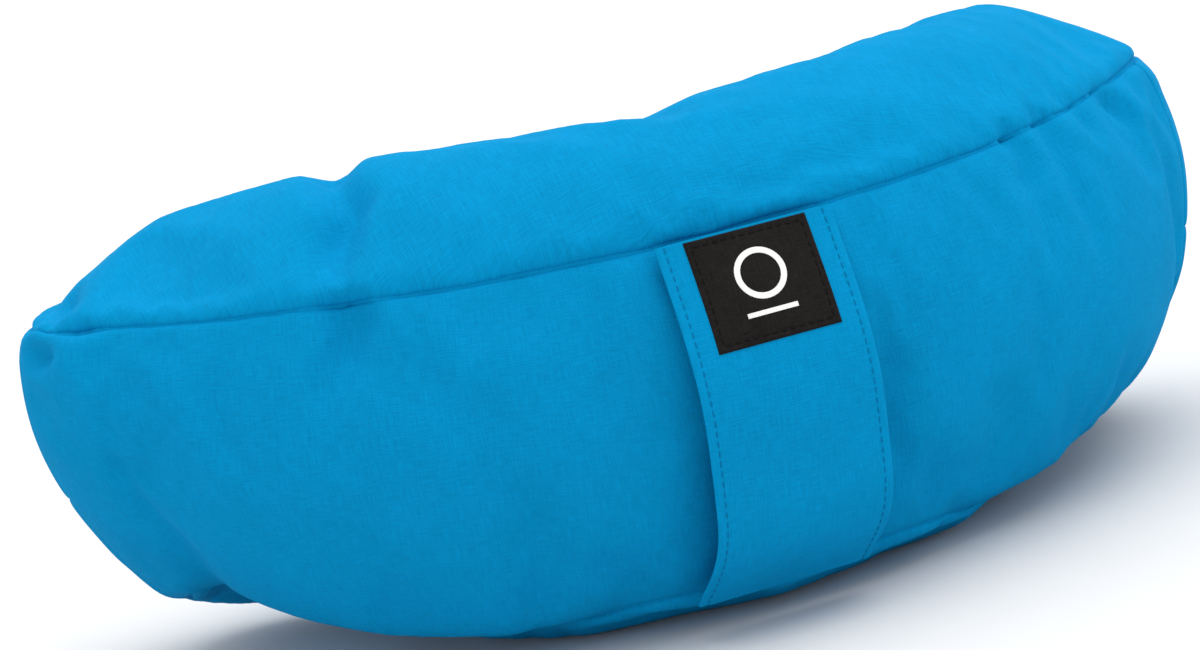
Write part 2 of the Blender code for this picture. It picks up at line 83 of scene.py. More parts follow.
# The filling
SEAM_WEIGHT = 0.35  # how firmly the simulation holds the seams
FLOOR_WEIGHT = 0.9  # how firmly it holds what rests on the floor
RESTING = 1.5 * MM  # what lies lower rests on the floor
ZIP_FADE = 14 * MM  # over which the hold round the zip fades
ZIP_DEPTH = 12 * MM  # in front of the tapes, where the hold is still whole
ZIP_ROOM_REACH = 150 * MM  # from the middle to where the room behind the zip has closed
ZIP_ROOM_CLOSING = 40 * MM  # over which it closes
BACK_FROM = 35 * MM  # Y from which a point counts as the back
TIP_REACH = 55 * MM  # how far a tip's gathers reach
BEHIND_STRAP = 1.2 * MM  # between the strap's middle line and the wall
PUCKERS = ((8.5, 0.75, 8), (19, 1.0, 16))  # along the seams: wavelength, height and reach in mm
WAVES = ((60, 1.1), (26, 0.30))  # all over: wavelength and height in mm

# The zip's channel
CHANNEL_HALF = 6.2 * MM  # half its height along the chain
CHANNEL_REACH = 135 * MM  # from the middle to where it has closed
CHANNEL_CLOSING = 22 * MM  # over which it closes
SHUT_HALF = 0.15 * MM  # half the gap of a closed seam
ZIP_STITCH_REACH = 112 * MM  # from the middle to where its stitching ends
ZIP_STITCH_INSET = 4 * MM  # between the channel's edge and its stitching

# The label, in millimetres
FINE_ROWS = (0.0, 0.15, 0.5, 1.0, 1.6, 2.2, 2.8, 3.6)  # how far its closer rows lie from its edge
FINE_ZONE = 5.5  # from its edge to where its even rows start
RING_SIDES = 72
RING_WIDTH = 2.05
RING_SLOPE = 0.15  # the print's edges
BAR_HALF = 0.8
BAR_SLOPE = 0.1

# The stage
FLOOR_REACH = 40.0  # half the floor's side
KEY_WAY = (-0.28, -0.12, -1.0)  # the way that the overhead light falls
KEY_SPREAD = math.radians(70)

# -------------------------------------------------------------- settings


def length(name, default, description):
    """A size in metres."""
    return FloatProperty(
        name=name, default=default, description=description, subtype="DISTANCE", unit="LENGTH", precision=4
    )


def plain_number(name, default, description):
    """A number without a unit."""
    return FloatProperty(name=name, default=default, description=description)


def angle_of(name, degrees, description):
    """An angle, given in degrees and kept in radians."""
    return FloatProperty(name=name, default=math.radians(degrees), description=description, subtype="ANGLE")


def colour(name, default, description):
    """A colour without transparency."""
    return FloatVectorProperty(
        name=name, default=default, description=description, subtype="COLOR", size=3, min=0, max=1
    )


def front_seam_y():
    """Where the front seam passes the middle, 0.9 mm behind the strap's upper leg."""
    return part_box("handle_upper_leg")[1].y + 0.9 * MM


class CushionShape(PropertyGroup):
    seam_length: length("Seam length", 0.430, "Length of the crescent between its two tips, at the seams")
    front_depth: length("Front depth", 0.130, "How far the front seam bulges from the lobes' centres")
    lobe_radius: length("Lobe radius", 0.056, "Radius of the round ends at the seams")
    notch_depth: length("Hollow depth", 0.034, "How far the back is hollowed between the lobes")
    wall_height: length("Wall height", 0.1166, "Height of the side band between its seams")
    seam_rise: length("Seam rise", 0.0135, "Height of the bottom seam above the floor")
    left_drop: length("Left top drop", -0.0064, "Sink of the top seam at the left tip, a rise below 0")
    right_drop: length("Right top drop", -0.0076, "Sink of the top seam at the right tip, a rise below 0")
    left_lift: length("Left bottom lift", 0.0347, "How far the bottom seam rises at the left tip")
    right_lift: length("Right bottom lift", 0.0173, "How far the bottom seam rises at the right tip")
    left_reach: length("Left seam reach", 0.052, "How far the left tip seam lies round the lobe")
    left_tuck: length("Left tuck", 0.0272, "How far the left end draws in at the bottom")
    right_tuck: length("Right tuck", 0.0172, "How far the right end draws in at the bottom")
    underfold: length("Underfold", 0.0200, "How far the wall rolls under before the bottom seam")
    side_sink: length("Side sink", 0.0082, "How much lower the bottom seam lies away from the strap")
    end_raise: length("End raise", 0.022, "How much higher the bottom panel lies at the ends")
    wall_swell: length("Wall swell", 0.0113, "Bulge of the side band before it is filled")
    zip_swell: length("Zip swell", 0.016, "Bulge of the back wall where the zip runs")
    drop_power: plain_number("Drop power", 1.7, "How late the top seam leaves its level")
    lift_power: plain_number("Lift power", 2.5, "How late the bottom seam rises")
    crown: length("Crown", 0.0389, "Rise of the top panel before it is filled")
    left_crown: length("Left crown", 0.0123, "Rise of the top panel at the left end")
    right_crown: length("Right crown", 0.0238, "Rise of the top panel at the right end")
    crown_power: plain_number("Crown power", 3.0, "How late the crown falls to the ends")
    belly: length("Belly", 0.008, "Sag of the bottom panel before it is filled")


class CushionCloth(PropertyGroup):
    cell: length("Cell", 0.0052, "Size of the cloth's mesh cells")
    wall_rows: IntProperty(
        name="Wall rows", default=24, description="Rows of cells down the side band", min=4
    )
    pressure: plain_number("Pressure", 4.0, "Push of the filling on the cover")
    slack: plain_number("Slack", 0.022, "Share of cloth to spare in each panel")
    seam_pull: plain_number("Seam pull", 0.03, "Share that the seams gather")
    steps: IntProperty(name="Steps", default=24, description="Frames of the filling simulation", min=2)
    reach: length("Reach", 0.013, "Furthest that filling may move a point of the cover")
    lip: length("Seam lip", 0.0011, "Radius of the cloth where it turns into a seam")
    allowance: length("Seam allowance", 0.0045, "How deep the cloth runs into a seam")


class CushionColours(PropertyGroup):
    cotton: colour("Cotton", (0.001, 0.240, 0.502), "Dyed cotton of the cover and strap")
    thread: colour("Thread", (0.001, 0.160, 0.350), "Sewing thread on the strap and beside the zip")
    label: colour("Label", (0.014, 0.012, 0.012), "Ground of the woven label")
    print_ink: colour("Print", (0.80, 0.80, 0.79), "Mark printed on the label")
    calico: colour("Calico", (0.72, 0.68, 0.58), "Unbleached cloth of the inner bag")
    hulls: colour("Hulls", (0.09, 0.055, 0.035), "Filling")
    tape: colour("Zip tape", (0.003, 0.27, 0.56), "Woven tape of the cover's zip")
    white_tape: colour("Inner zip tape", (0.76, 0.75, 0.72), "Woven tape of the inner bag's zip")
    white_coil: colour("Inner zip coil", (0.80, 0.79, 0.76), "Nylon coil of the inner bag's zip")
    label_thread: colour("Label thread", (0.006, 0.006, 0.006), "Sewing thread round the label")
    coil: colour("Zip coil", (0.003, 0.24, 0.50), "Nylon coil of the cover's zip")
    nickel: colour("Zip metal", (0.62, 0.61, 0.59), "Slider, pull tab and end stops")


class CushionStrap(PropertyGroup):
    lean: angle_of("Lean", 25, "Outward lean at the top seam")
    lower_lean: angle_of("Lower lean", 42, "Outward lean at the bottom seam")
    half_thickness: length("Half thickness", 0.0009, "Half of the doubled cloth")
    skew: length("Skew", -0.0090, "How far the strap's lower end is sewn to one side")
    stitch_inset: length("Stitch inset", 0.0031, "Distance of the stitching from the edge")
    stitch: length("Stitch", 0.0024, "Length of one stitch")
    stitch_gap: length("Stitch gap", 0.0008, "Gap between stitches")
    thread_radius: length("Thread radius", 0.00026, "Half the width of the thread")
    label_thickness: length("Label thickness", 0.0006, "Thickness of the label")
    label_stitch_inset: length("Label stitch inset", 0.0022, "Distance of its stitching from its edge")


class CushionStage(PropertyGroup):
    azimuth: angle_of("Azimuth", -17.4, "Camera round the cushion")
    elevation: angle_of("Elevation", 10.5, "Camera above the horizon")
    roll: angle_of("Roll", -11.6, "Camera tilt")
    distance: length("Distance", 1.081, "Camera to the aim point")
    lens: plain_number("Lens", 93.4, "Focal length in millimetres")
    aim: FloatVectorProperty(
        name="Aim", default=(-0.0269, -0.0052, 0.0943), description="Aim point", subtype="XYZ", unit="LENGTH"
    )
    key: plain_number("Key light", 2.0, "Strength of the overhead light")
    fill: plain_number("Fill", 1.0, "Strength of the white surroundings")


# ------------------------------------------------------------ the outline


class Station:
    """Points round the plan of the cushion, from the left tip over the front and back to it.

    Each has its place on the seam, the way out of the cushion, how near an end it is, and its run.
    """

    def __init__(self, shape, cell):
        lobe_x = shape.seam_length / 2 - shape.lobe_radius
        rise = shape.front_depth - shape.lobe_radius
        front = (lobe_x**2 - rise**2) / (2 * rise)
        back = (lobe_x**2 - shape.notch_depth**2) / (2 * shape.notch_depth)
        front_sweep = math.atan2(lobe_x, front)
        back_sweep = math.atan2(lobe_x, back)
        back_radius = back + shape.notch_depth - shape.lobe_radius
        lobe_sweep = math.pi + back_sweep
        arcs = (
            (0.0, front, front + shape.front_depth, -front_sweep, front_sweep, 1),
            (lobe_x, 0.0, shape.lobe_radius, front_sweep, lobe_sweep, 1),
            (0.0, back, back_radius, back_sweep, -back_sweep, -1),
            (-lobe_x, 0.0, shape.lobe_radius, -lobe_sweep, -front_sweep, 1),
        )
        places, outs, alongs, counts = [], [], [], []
        for number, (cx, cy, radius, start, end, way) in enumerate(arcs):
            count = max(4, round(abs(end - start) * (radius + way * shape.zip_swell) / cell))
            angle = np.linspace(start, end, count, endpoint=False)
            out = np.stack([np.sin(angle), -np.cos(angle)], axis=1)
            places.append(np.array([cx, cy]) + radius * out)
            outs.append(way * out)
            counts.append(count)
            if number == 0:
                alongs.append(angle / front_sweep)
            elif number == 2:
                alongs.append(angle / back_sweep * HOLLOW_SHARE)
            else:
                rest = (np.abs(angle) - front_sweep) / (lobe_sweep - front_sweep)
                alongs.append(np.sign(cx) * (1 - (1 - HOLLOW_SHARE) * rest))
        further = round(shape.left_reach / cell)
        self.place = np.roll(np.concatenate(places), further, axis=0)
        self.place[:, 1] += front_seam_y() + shape.front_depth
        self.out = np.roll(np.concatenate(outs), further, axis=0)
        self.along = np.roll(np.concatenate(alongs), further)
        self.front_count = counts[0] + further
        self.count = len(self.along)
        steps = np.linalg.norm(np.roll(self.place, -1, axis=0) - self.place, axis=1)
        self.run = np.concatenate([[0.0], np.cumsum(steps)[:-1]])
        self.total = float(steps.sum())

    def heights(self, shape):
        """The top and bottom seam's heights at each station."""
        far = np.abs(self.along)
        right = np.clip(self.place[:, 0] / shape.seam_length + 0.5, 0, 1)
        drop = shape.left_drop + (shape.right_drop - shape.left_drop) * right
        lift = shape.left_lift + (shape.right_lift - shape.left_lift) * right
        top = shape.seam_rise + shape.wall_height - drop * far**shape.drop_power
        off_strap = smooth_step((np.abs(self.place[:, 0]) - ROLL_CLEAR) / (2 * ROLL_CLEAR))
        bottom = shape.seam_rise - shape.side_sink * off_strap + lift * far**shape.lift_power
        return top, bottom


def hex_points(outline, cell):
    """Evenly spread points inside a closed outline, clear of its edge."""
    low, high = outline.min(axis=0), outline.max(axis=0)
    rows = np.arange(low[1], high[1], cell * math.sqrt(3) / 2)
    points = []
    for number, y in enumerate(rows):
        start = low[0] + (cell / 2 if number % 2 else 0.0)
        points += [(x, y) for x in np.arange(start, high[0], cell)]
    points = np.array(points)
    first, second = outline, np.roll(outline, -1, axis=0)
    inside = np.zeros(len(points), bool)
    for (x0, y0), (x1, y1) in zip(first, second):
        crosses = (y0 > points[:, 1]) != (y1 > points[:, 1])
        with np.errstate(divide="ignore", invalid="ignore"):
            at = (x1 - x0) * (points[:, 1] - y0) / (y1 - y0) + x0
        inside ^= crosses & (points[:, 0] < at)
    points = points[inside]
    gap, _ = nearest(points, outline)
    return points[gap > 0.6 * cell]


def nearest(points, others):
    """The distance from each point to the nearest of the others, and which one it is."""
    far = np.linalg.norm(points[:, None, :] - others[None, :, :], axis=2)
    which = far.argmin(axis=1)
    return far[np.arange(len(points)), which], which


def fill_outline(outline, inner):
    """Triangles between a closed outline and the points inside it, as indices into both in turn."""
    spots = [Vector(spot) for spot in np.concatenate([outline, inner])]
    loop = [(i, (i + 1) % len(outline)) for i in range(len(outline))]
    result = geometry.delaunay_2d_cdt(spots, loop, [], 1, 1e-7)
    origin = [ids[0] for ids in result[3]]
    return [[origin[i] for i in face] for face in result[2]]


# ------------------------------------------------------------- the cover


class Cover:
    """The whole cover as one closed cloth: a grid for the side band and a filled outline for each panel."""

    def __init__(self, shape, cloth):
        self.shape = shape
        self.cloth = cloth
        self.station = Station(shape, cloth.cell)
        self.rows = cloth.wall_rows
        self.levels = np.linspace(0.0, 1.0, self.rows + 1)
        station = self.station
        top, bottom = station.heights(shape)
        level = self.levels[None, :]
        z = top[:, None] + (bottom - top)[:, None] * level
        arch = np.broadcast_to(np.sin(math.pi * level), z.shape)
        self.band = self.swollen(shape.zip_swell * arch, z)
        on_zip = self.zip_hold(self.band.reshape(-1, 3)).reshape(z.shape)
        self.band = self.swollen((shape.wall_swell + (shape.zip_swell - shape.wall_swell) * on_zip) * arch, z)
        self.inner = hex_points(station.place, cloth.cell)
        gap, which = nearest(self.inner, station.place)
        self.inner_gap = gap
        self.inner_run = station.run[which]
        dome = np.sin(math.pi / 2 * np.minimum(1.0, gap / PANEL_REACH))
        side = np.clip(self.inner[:, 0] / shape.seam_length * 2, -1, 1)
        end_crown = np.where(side < 0, shape.left_crown, shape.right_crown)
        crown = shape.crown + (end_crown - shape.crown) * np.abs(side) ** shape.crown_power
        top_z = smooth_field(self.inner, station.place, top) + crown * dome
        low_z = smooth_field(self.inner, station.place, bottom) - shape.belly * dome
        self.top = np.column_stack([self.inner, top_z])
        edge = self.band[:, -1, :2] - station.place
        drawn_in = [smooth_field(self.inner, station.place, edge[:, axis]) for axis in (0, 1)]
        under = self.inner + np.column_stack(drawn_in)
        low_z += shape.end_raise * np.abs(side) ** RAISE_POWER * dome
        self.bottom = np.column_stack([under, np.maximum(low_z, FLOOR_GAP)])
        self.triangles = fill_outline(station.place, self.inner)

    def swollen(self, swell, z):
        """The side band's points for a bulge and a height at each station and level."""
        rolled = np.clip((self.levels - ROLL_FROM) / (1 - ROLL_FROM), 0, 1)
        rolled = 1 - np.sqrt(1 - rolled**2)
        off_strap = smooth_step((np.abs(self.station.place[:, 0]) - ROLL_CLEAR) / (2 * ROLL_CLEAR))
        off_strap *= np.where(self.station.place[:, 1] < 20 * MM, 1.0, BACK_ROLL)
        inset = self.shape.underfold * rolled[None, :] * off_strap[:, None]
        xy = self.station.place[:, None, :] + self.station.out[:, None, :] * (swell - inset)[:, :, None]
        self.tuck(xy, self.levels[None, :])
        return np.concatenate([xy, z[:, :, None]], axis=2)

    def tuck(self, places, level):
        """Draws the ends in towards the bottom, where a level is 1."""
        shape = self.shape
        x = places[..., 0]
        far = np.clip((np.abs(x) / shape.seam_length * 2 - TUCK_FROM) / (1 - TUCK_FROM), 0, 1.1)
        amount = np.where(x < 0, shape.left_tuck, shape.right_tuck)
        places[..., 0] = x - np.sign(x) * amount * far**2 * level**TUCK_POWER

    def index(self, i, j):
        """The number of the side band's point at a station and a level."""
        return (i % self.station.count) * (self.rows + 1) + j

    def points(self):
        """Every point in turn: the side band's, the top panel's and the bottom panel's."""
        return np.concatenate([self.band.reshape(-1, 3), self.top, self.bottom])

    def take(self, points):
        """Reads moved points back into the band and the panels."""
        count = self.station.count * (self.rows + 1)
        self.band = points[:count].reshape(self.station.count, self.rows + 1, 3)
        self.top = points[count : count + len(self.inner)]
        self.bottom = points[count + len(self.inner) :]

    def faces(self):
        """Every face with its points in order, seen from outside."""
        found = []
        for i in range(self.station.count):
            for j in range(self.rows):
                corners = ((i, j), (i, j + 1), (i + 1, j + 1), (i + 1, j))
                found.append([self.index(*corner) for corner in corners])
        base = self.station.count * (self.rows + 1)
        edge = self.station.count
        for row, start, turn in ((0, base, 1), (self.rows, base + len(self.inner), -1)):
            for triangle in self.triangles:
                corners = [self.index(k, row) if k < edge else start + k - edge for k in triangle]
                found.append(corners[::turn])
        return found

    def closed_mesh(self, name):
        """The cover as one closed mesh."""
        mesh = bpy.data.meshes.new(name)
        mesh.from_pydata(self.points().tolist(), [], self.faces())
        form = bmesh.new()
        form.from_mesh(mesh)
        bmesh.ops.recalc_face_normals(form, faces=form.faces)
        form.to_mesh(mesh)
        form.free()
        return mesh

    def zip_hold(self, points):
        """1 on the stretch of back wall that carries the zip, fading to 0 round it."""
        low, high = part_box("cover_zip_tape_lower")[0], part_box("cover_zip_tape_upper")[1]
        over_x = np.maximum(np.abs(points[:, 0]) - high.x, 0.0)
        over_z = np.maximum(np.maximum(low.z - points[:, 2], points[:, 2] - high.z), 0.0)
        over_y = np.maximum(low.y - ZIP_DEPTH - points[:, 1], 0.0)
        reach = np.sqrt(over_x**2 + over_z**2 + over_y**2)
        return smooth_step(1 - reach / ZIP_FADE)


def add_object(name, data):
    """A new object in the scene."""
    obj = bpy.data.objects.new(name, data)
    bpy.context.scene.collection.objects.link(obj)
    return obj


def smooth_field(points, edge, values):
    """Values on an outline carried over its inside, weighted to the nearest stretches."""
    far = np.linalg.norm(points[:, None, :] - edge[None, :, :], axis=2) + 1e-4
    weight = far**-3.0
    return (weight * values[None, :]).sum(axis=1) / weight.sum(axis=1)


def fill_with_pressure(cover):
    """Fills the sewn cover in a cloth simulation and returns how far each point moved."""
    cloth = cover.cloth
    obj = add_object("cover_blank", cover.closed_mesh("cover_blank"))
    start = cover.points()
    seams = obj.vertex_groups.new(name="seams")
    held = obj.vertex_groups.new(name="held")
    on_zip = cover.zip_hold(start)
    for i in range(cover.station.count):
        for j in (0, cover.rows):
            seams.add([cover.index(i, j)], 1.0, "REPLACE")
            held.add([cover.index(i, j)], SEAM_WEIGHT, "REPLACE")
    for i in np.flatnonzero(on_zip > 0.05):
        held.add([int(i)], float(on_zip[i]), "REPLACE")
    for i in np.flatnonzero(start[:, 2] < RESTING):
        held.add([int(i)], FLOOR_WEIGHT, "REPLACE")
    modifier = obj.modifiers.new("filling", "CLOTH")
    settings = modifier.settings
    settings.quality = 6
    settings.mass = 0.25
    settings.air_damping = 2.0
    settings.tension_stiffness = 18
    settings.compression_stiffness = 18
    settings.shear_stiffness = 6
    settings.bending_stiffness = 0.12
    settings.use_pressure = True
    settings.uniform_pressure_force = cloth.pressure
    settings.effector_weights.gravity = 0.0
    settings.vertex_group_shrink = "seams"
    settings.shrink_min = -cloth.slack
    settings.shrink_max = cloth.seam_pull
    settings.vertex_group_mass = "held"
    settings.pin_stiffness = 0.6
    modifier.collision_settings.use_collision = False
    modifier.point_cache.frame_start = 1
    modifier.point_cache.frame_end = cloth.steps
    for step in range(1, cloth.steps + 1):
        bpy.context.scene.frame_set(step)
    evaluated = obj.evaluated_get(bpy.context.evaluated_depsgraph_get())
    moved = np.empty(len(start) * 3, np.float32)
    evaluated.data.vertices.foreach_get("co", moved)
    bpy.data.objects.remove(obj, do_unlink=True)
    bpy.context.scene.frame_set(1)
    return moved.reshape(-1, 3).astype(float) - start


def settle(cover):
    """Fills the cover and limits how far it may move, and not at all at the zip."""
    start = cover.points()
    moved = fill_with_pressure(cover)
    far = np.linalg.norm(moved, axis=1, keepdims=True)
    moved *= cover.cloth.reach / np.sqrt(cover.cloth.reach**2 + far**2)
    moved *= (1 - cover.zip_hold(start))[:, None]
    cover.take(start + moved)


def outward(cover):
    """The outward way of each point of the cover."""
    mesh = cover.closed_mesh("ways")
    ways = np.empty(len(mesh.vertices) * 3, np.float32)
    mesh.vertex_normals.foreach_get("vector", ways)
    bpy.data.meshes.remove(mesh)
    return ways.reshape(-1, 3).astype(float)


def along_path(points, path):
    """Each point's distance from a path of straight legs, and how far along the path it is, from 0 to 1."""
    legs = np.linalg.norm(np.diff(path, axis=0), axis=1)
    total, passed = legs.sum(), 0.0
    best = np.full(len(points), np.inf)
    share = np.zeros(len(points))
    for start, end, leg in zip(path, path[1:], legs):
        way = (end - start) / leg
        at = np.clip((points - start) @ way, 0, leg)
        far = np.linalg.norm(points - start - at[:, None] * way, axis=1)
        closer = far < best
        best[closer] = far[closer]
        share[closer] = (passed + at[closer]) / total
        passed += leg
    return best, share


def crease(points, ways, path, width, depth):
    """Presses a soft valley along a path, with a low ridge on both sides, fading at its ends."""
    far, share = along_path(points, path)
    t = far / width
    profile = (1 - 0.9 * t**2) * np.exp(-(t**2))
    fade = np.sin(math.pi * np.clip(0.08 + 0.84 * share, 0, 1)) ** 0.7
    return points - ways * (depth * profile * fade)[:, None]


# The filled cover's folds, in millimetres: the width, the depth, which is below 0 for a ridge, and
# then the points that the fold runs through.
FOLDS = (
    # the deep valley left of the middle, from the back over the seam, and the ridge beside it
    (9.5, 9.5, (-104, 10, 168), (-110, -10, 164), (-111, -30, 158), (-120, -37, 147),
     (-124, -45, 134), (-125, -56, 126), (-129, -58, 119), (-137, -60, 108)),
    (13, -1.6, (-88, 20, 168), (-90, -30, 162), (-98, -52, 146)),
    # the gather at the left tip
    (4.5, 8, (-196, 6, 134), (-206, 14, 129), (-214, 22, 127), (-222, 34, 128)),
    (5, 2.8, (-196, 40, 140), (-203, 28, 135), (-208, 16, 130)),
    (5, -2.2, (-184, 18, 142), (-196, 18, 136), (-205, 16, 131)),
    (6, 3.6, (-218, 29, 108), (-215, 20, 104), (-206, 8, 96),
     (-186, -11, 84), (-165, -35, 79), (-135, -60, 74)),
    (4, 2.8, (-219, 30, 116), (-214, 16, 110), (-207, 4, 103)),
    (6, -2.1, (-209, 12, 128), (-206, 6, 120), (-203, -2, 110)),
    # the kink of the seam below the deep valley
    (9, 1.4, (-121, -64, 118), (-116, -71, 104), (-108, -77, 90)),
    # right of the strap, from the top panel over the seam and down the wall
    (5, 5.5, (104, -50, 143), (112, -59, 131), (117, -62, 125), (116, -65, 118), (106, -70, 112)),
    (6, 5, (128, -46, 139), (132, -55, 126), (135, -61, 107), (136, -64, 86)),
    (5, 4.2, (144, -36, 136), (151, -41, 125), (159, -38, 114)),
    (5, 4.8, (158, -20, 140), (166, -26, 131), (175, -23, 125), (188, -14, 110)),
    (4.5, 3.4, (196, 0, 131), (197, -6, 118), (204, 2, 98)),
    # under the front, on both sides of the strap
    (4.5, 4.1, (141, -54, 42), (141, -48, 30), (143, -34, 18)),
    (4.5, 4.1, (129, -63, 42), (122, -61, 30), (119, -50, 16)),
    (4, 3.4, (107, -68, 36), (105, -63, 24), (104, -56, 14)),
    (5, 2.2, (-89, -60, 10), (-89, -70, 17), (-85, -80, 30)),
    (5, 2, (-132, -33, 14), (-130, -40, 23), (-131, -57, 34)),
    # soft rises and dips of the top panel
    (9, -1.2, (-63, -32, 169), (-44, -50, 162), (-21, -66, 153)),
    (8, -1.2, (8, -55, 165), (34, -57, 162), (64, -58, 157)),
    (12, 2.4, (-10, 30, 168), (-8, -30, 168), (-4, -56, 162)),
    (12, 2.2, (62, 60, 150), (75, 30, 162), (110, 10, 164)),
    # the corners of the back
    (8, 2.4, (150, 88, 128), (165, 105, 110), (160, 112, 85)),
    (8, 2.6, (-150, 88, 128), (-168, 104, 106), (-172, 108, 80)),
    (7, 2.2, (-198, 70, 124), (-215, 78, 102), (-218, 76, 75)),
    (7, 2.2, (190, 78, 30), (208, 80, 50), (214, 76, 74)),
    # the roll over the seam at the left tip
    (5, -2.5, (-200, 20, 137), (-210, 28, 134), (-218, 40, 132)),
)


def seam_reach(cover):
    """For each point: its distance from the nearest seam round a panel, and its run along that seam."""
    station = cover.station
    height = np.linalg.norm(cover.band[:, 0] - cover.band[:, -1], axis=1)
    down = cover.levels[None, :] * height[:, None]
    band_gap = np.minimum(down, height[:, None] - down)
    band_run = np.broadcast_to(station.run[:, None], band_gap.shape)
    gap = np.concatenate([band_gap.ravel(), cover.inner_gap, cover.inner_gap])
    run = np.concatenate([band_run.ravel(), cover.inner_run, cover.inner_run])
    return gap, run


def tip_reach(cover, points):
    """1 at the two tips, where the cloth gathers, fading to 0."""
    station = cover.station
    found = np.zeros(len(points))
    for number in (0, station.front_count):
        tip = station.place[number]
        far = np.linalg.norm(points[:, :2] - tip, axis=1)
        found = np.maximum(found, np.clip(1 - far / TIP_REACH, 0, 1))
    return found


def dress(cover, strap_path):
    """Works folds, puckers and slack into the filled cover, and keeps it behind the strap."""
    points = cover.points()
    ways = outward(cover)
    free = 1 - cover.zip_hold(points)
    for width, depth, *path in FOLDS:
        points = crease(points, ways, np.array(path) * MM, width * MM, depth * MM)
    gap, run = seam_reach(cover)
    tips = tip_reach(cover, points)
    seeds = np.repeat((0.0, 3.1, 7.7), (cover.band[:, :, 0].size, len(cover.inner), len(cover.inner)))
    pucker = np.zeros(len(points))
    for number, (scale, amount, reach) in enumerate(PUCKERS):
        spots = zip(run / (scale * MM), seeds + number)
        lines = np.array([noise.noise(Vector((along, seed, 0.7))) for along, seed in spots])
        strength = (0.55 + 1.3 * tips) * amount * MM
        pucker += lines * strength * np.exp(-gap / (reach * MM)) * np.clip(gap / (2 * MM), 0, 1)
    slack = np.zeros(len(points))
    for scale, amount in WAVES:
        slack += amount * MM * np.array([noise.noise(Vector(point) / (scale * MM)) for point in points])
    shift = (pucker + slack) * free * np.clip(gap / (3 * MM) + 0.35, 0, 1)
    points = points + ways * shift[:, None]
    points = clear_of_strap(points, strap_path)
    resting = smooth_step(points[:, 2] / (7 * MM))
    points[:, 2] = np.maximum(points[:, 2] * (0.35 + 0.65 * resting), FLOOR_GAP)
    cover.take(points)


def smooth_step(t):
    """An even rise from 0 to 1."""
    t = np.clip(t, 0, 1)
    return t * t * (3 - 2 * t)


def clear_of_strap(points, strap_path):
    """Keeps the front wall behind the strap's inner face."""
    limit = strap_path.inner_y(points[:, 2]) + BEHIND_STRAP
    near = smooth_step((strap_path.half_width + 14 * MM - np.abs(points[:, 0])) / (12 * MM))
    ahead = np.maximum(limit - points[:, 1], 0) * near * (points[:, 1] < 0)
    points = points.copy()
    points[:, 1] += ahead
    return points


# ------------------------------------------------------------ the panels


def cloth_piece(name, points, faces, flat, cloth):
    """A sewn panel: its border rolls over a small lip and runs down into the seam."""
    form = bmesh.new()
    layer = form.verts.layers.float_vector.new("flat")
    verts = [form.verts.new(point) for point in points]
    for vert, (u, v) in zip(verts, flat):
        vert[layer] = (u, v, 0.0)
    for face in faces:
        form.faces.new([verts[k] for k in face])
    loose = [vert for vert in form.verts if not vert.link_faces]
    bmesh.ops.delete(form, geom=loose, context="VERTS")
    form.normal_update()
    border = [edge for edge in form.edges if edge.is_boundary]
    rim = {vert for edge in border for vert in edge.verts}
    ways, inward, place = {}, {}, {}
    for vert in rim:
        centre = sum((face.calc_center_median() for face in vert.link_faces), Vector()) / len(vert.link_faces)
        ends = [edge.other_vert(vert).co for edge in vert.link_edges if edge.is_boundary]
        run = (ends[0] - ends[-1]).normalized()
        into = centre - vert.co
        into -= run * into.dot(run)
        into -= vert.normal * into.dot(vert.normal)
        ways[vert], inward[vert], place[vert] = vert.normal.copy(), into.normalized(), vert.co.copy()
    for vert in rim:
        vert.co = place[vert] + inward[vert] * cloth.lip - ways[vert] * 0.12 * MM
    edges, old = border, {vert: vert for vert in rim}
    for shift, sink in ((0.12 * MM, cloth.lip), (0.15 * MM, cloth.allowance)):
        made = bmesh.ops.extrude_edge_only(form, edges=edges)["geom"]
        fresh = [item for item in made if isinstance(item, bmesh.types.BMVert)]
        edges = [item for item in made if isinstance(item, bmesh.types.BMEdge) and item.is_boundary]
        older = {}
        for vert in fresh:
            source = next(e.other_vert(vert) for e in vert.link_edges if e.other_vert(vert) in old)
            root = old[source]
            older[vert] = root
            vert.co = place[root] + inward[root] * shift - ways[root] * sink
            vert[layer] = root[layer]
        old = older
    form.normal_update()
    uv = form.loops.layers.uv.new("flat")
    for face in form.faces:
        face.smooth = True
        for loop in face.loops:
            loop[uv].uv = loop.vert[layer].xy
    mesh = bpy.data.meshes.new(name)
    form.to_mesh(mesh)
    form.free()
    obj = add_object(name, mesh)
    smoother = obj.modifiers.new("smooth", "SUBSURF")
    smoother.levels = smoother.render_levels = 1
    return obj


def grid_faces(columns, rows):
    """Faces of a grid whose columns run along and whose rows run down, seen from outside."""
    faces = []
    for i in range(columns - 1):
        for j in range(rows - 1):
            corner = i * rows + j
            faces.append((corner, corner + 1, corner + rows + 1, corner + rows))
    return faces


def band_piece(name, columns, runs, cloth):
    """A stretch of the side band from its columns of points and their runs round the cushion."""
    count, rows = columns.shape[:2]
    down = np.linalg.norm(np.diff(columns, axis=1), axis=2).cumsum(axis=1)
    down = np.concatenate([np.zeros((count, 1)), down], axis=1)
    flat = np.stack([np.broadcast_to(runs[:, None], down.shape), -down], axis=2)
    return cloth_piece(name, columns.reshape(-1, 3), grid_faces(count, rows), flat.reshape(-1, 2), cloth)


def at_level(columns, levels, wanted):
    """Points of each column at its own wanted levels."""
    return np.stack(
        [
            np.stack([np.interp(want, levels, column[:, axis]) for axis in range(3)], axis=1)
            for column, want in zip(columns, wanted)
        ]
    )


def level_of_height(columns, levels, heights):
    """The level at which each column passes a height."""
    return np.array([np.interp(-z, -column[:, 2], levels) for column, z in zip(columns, heights)])


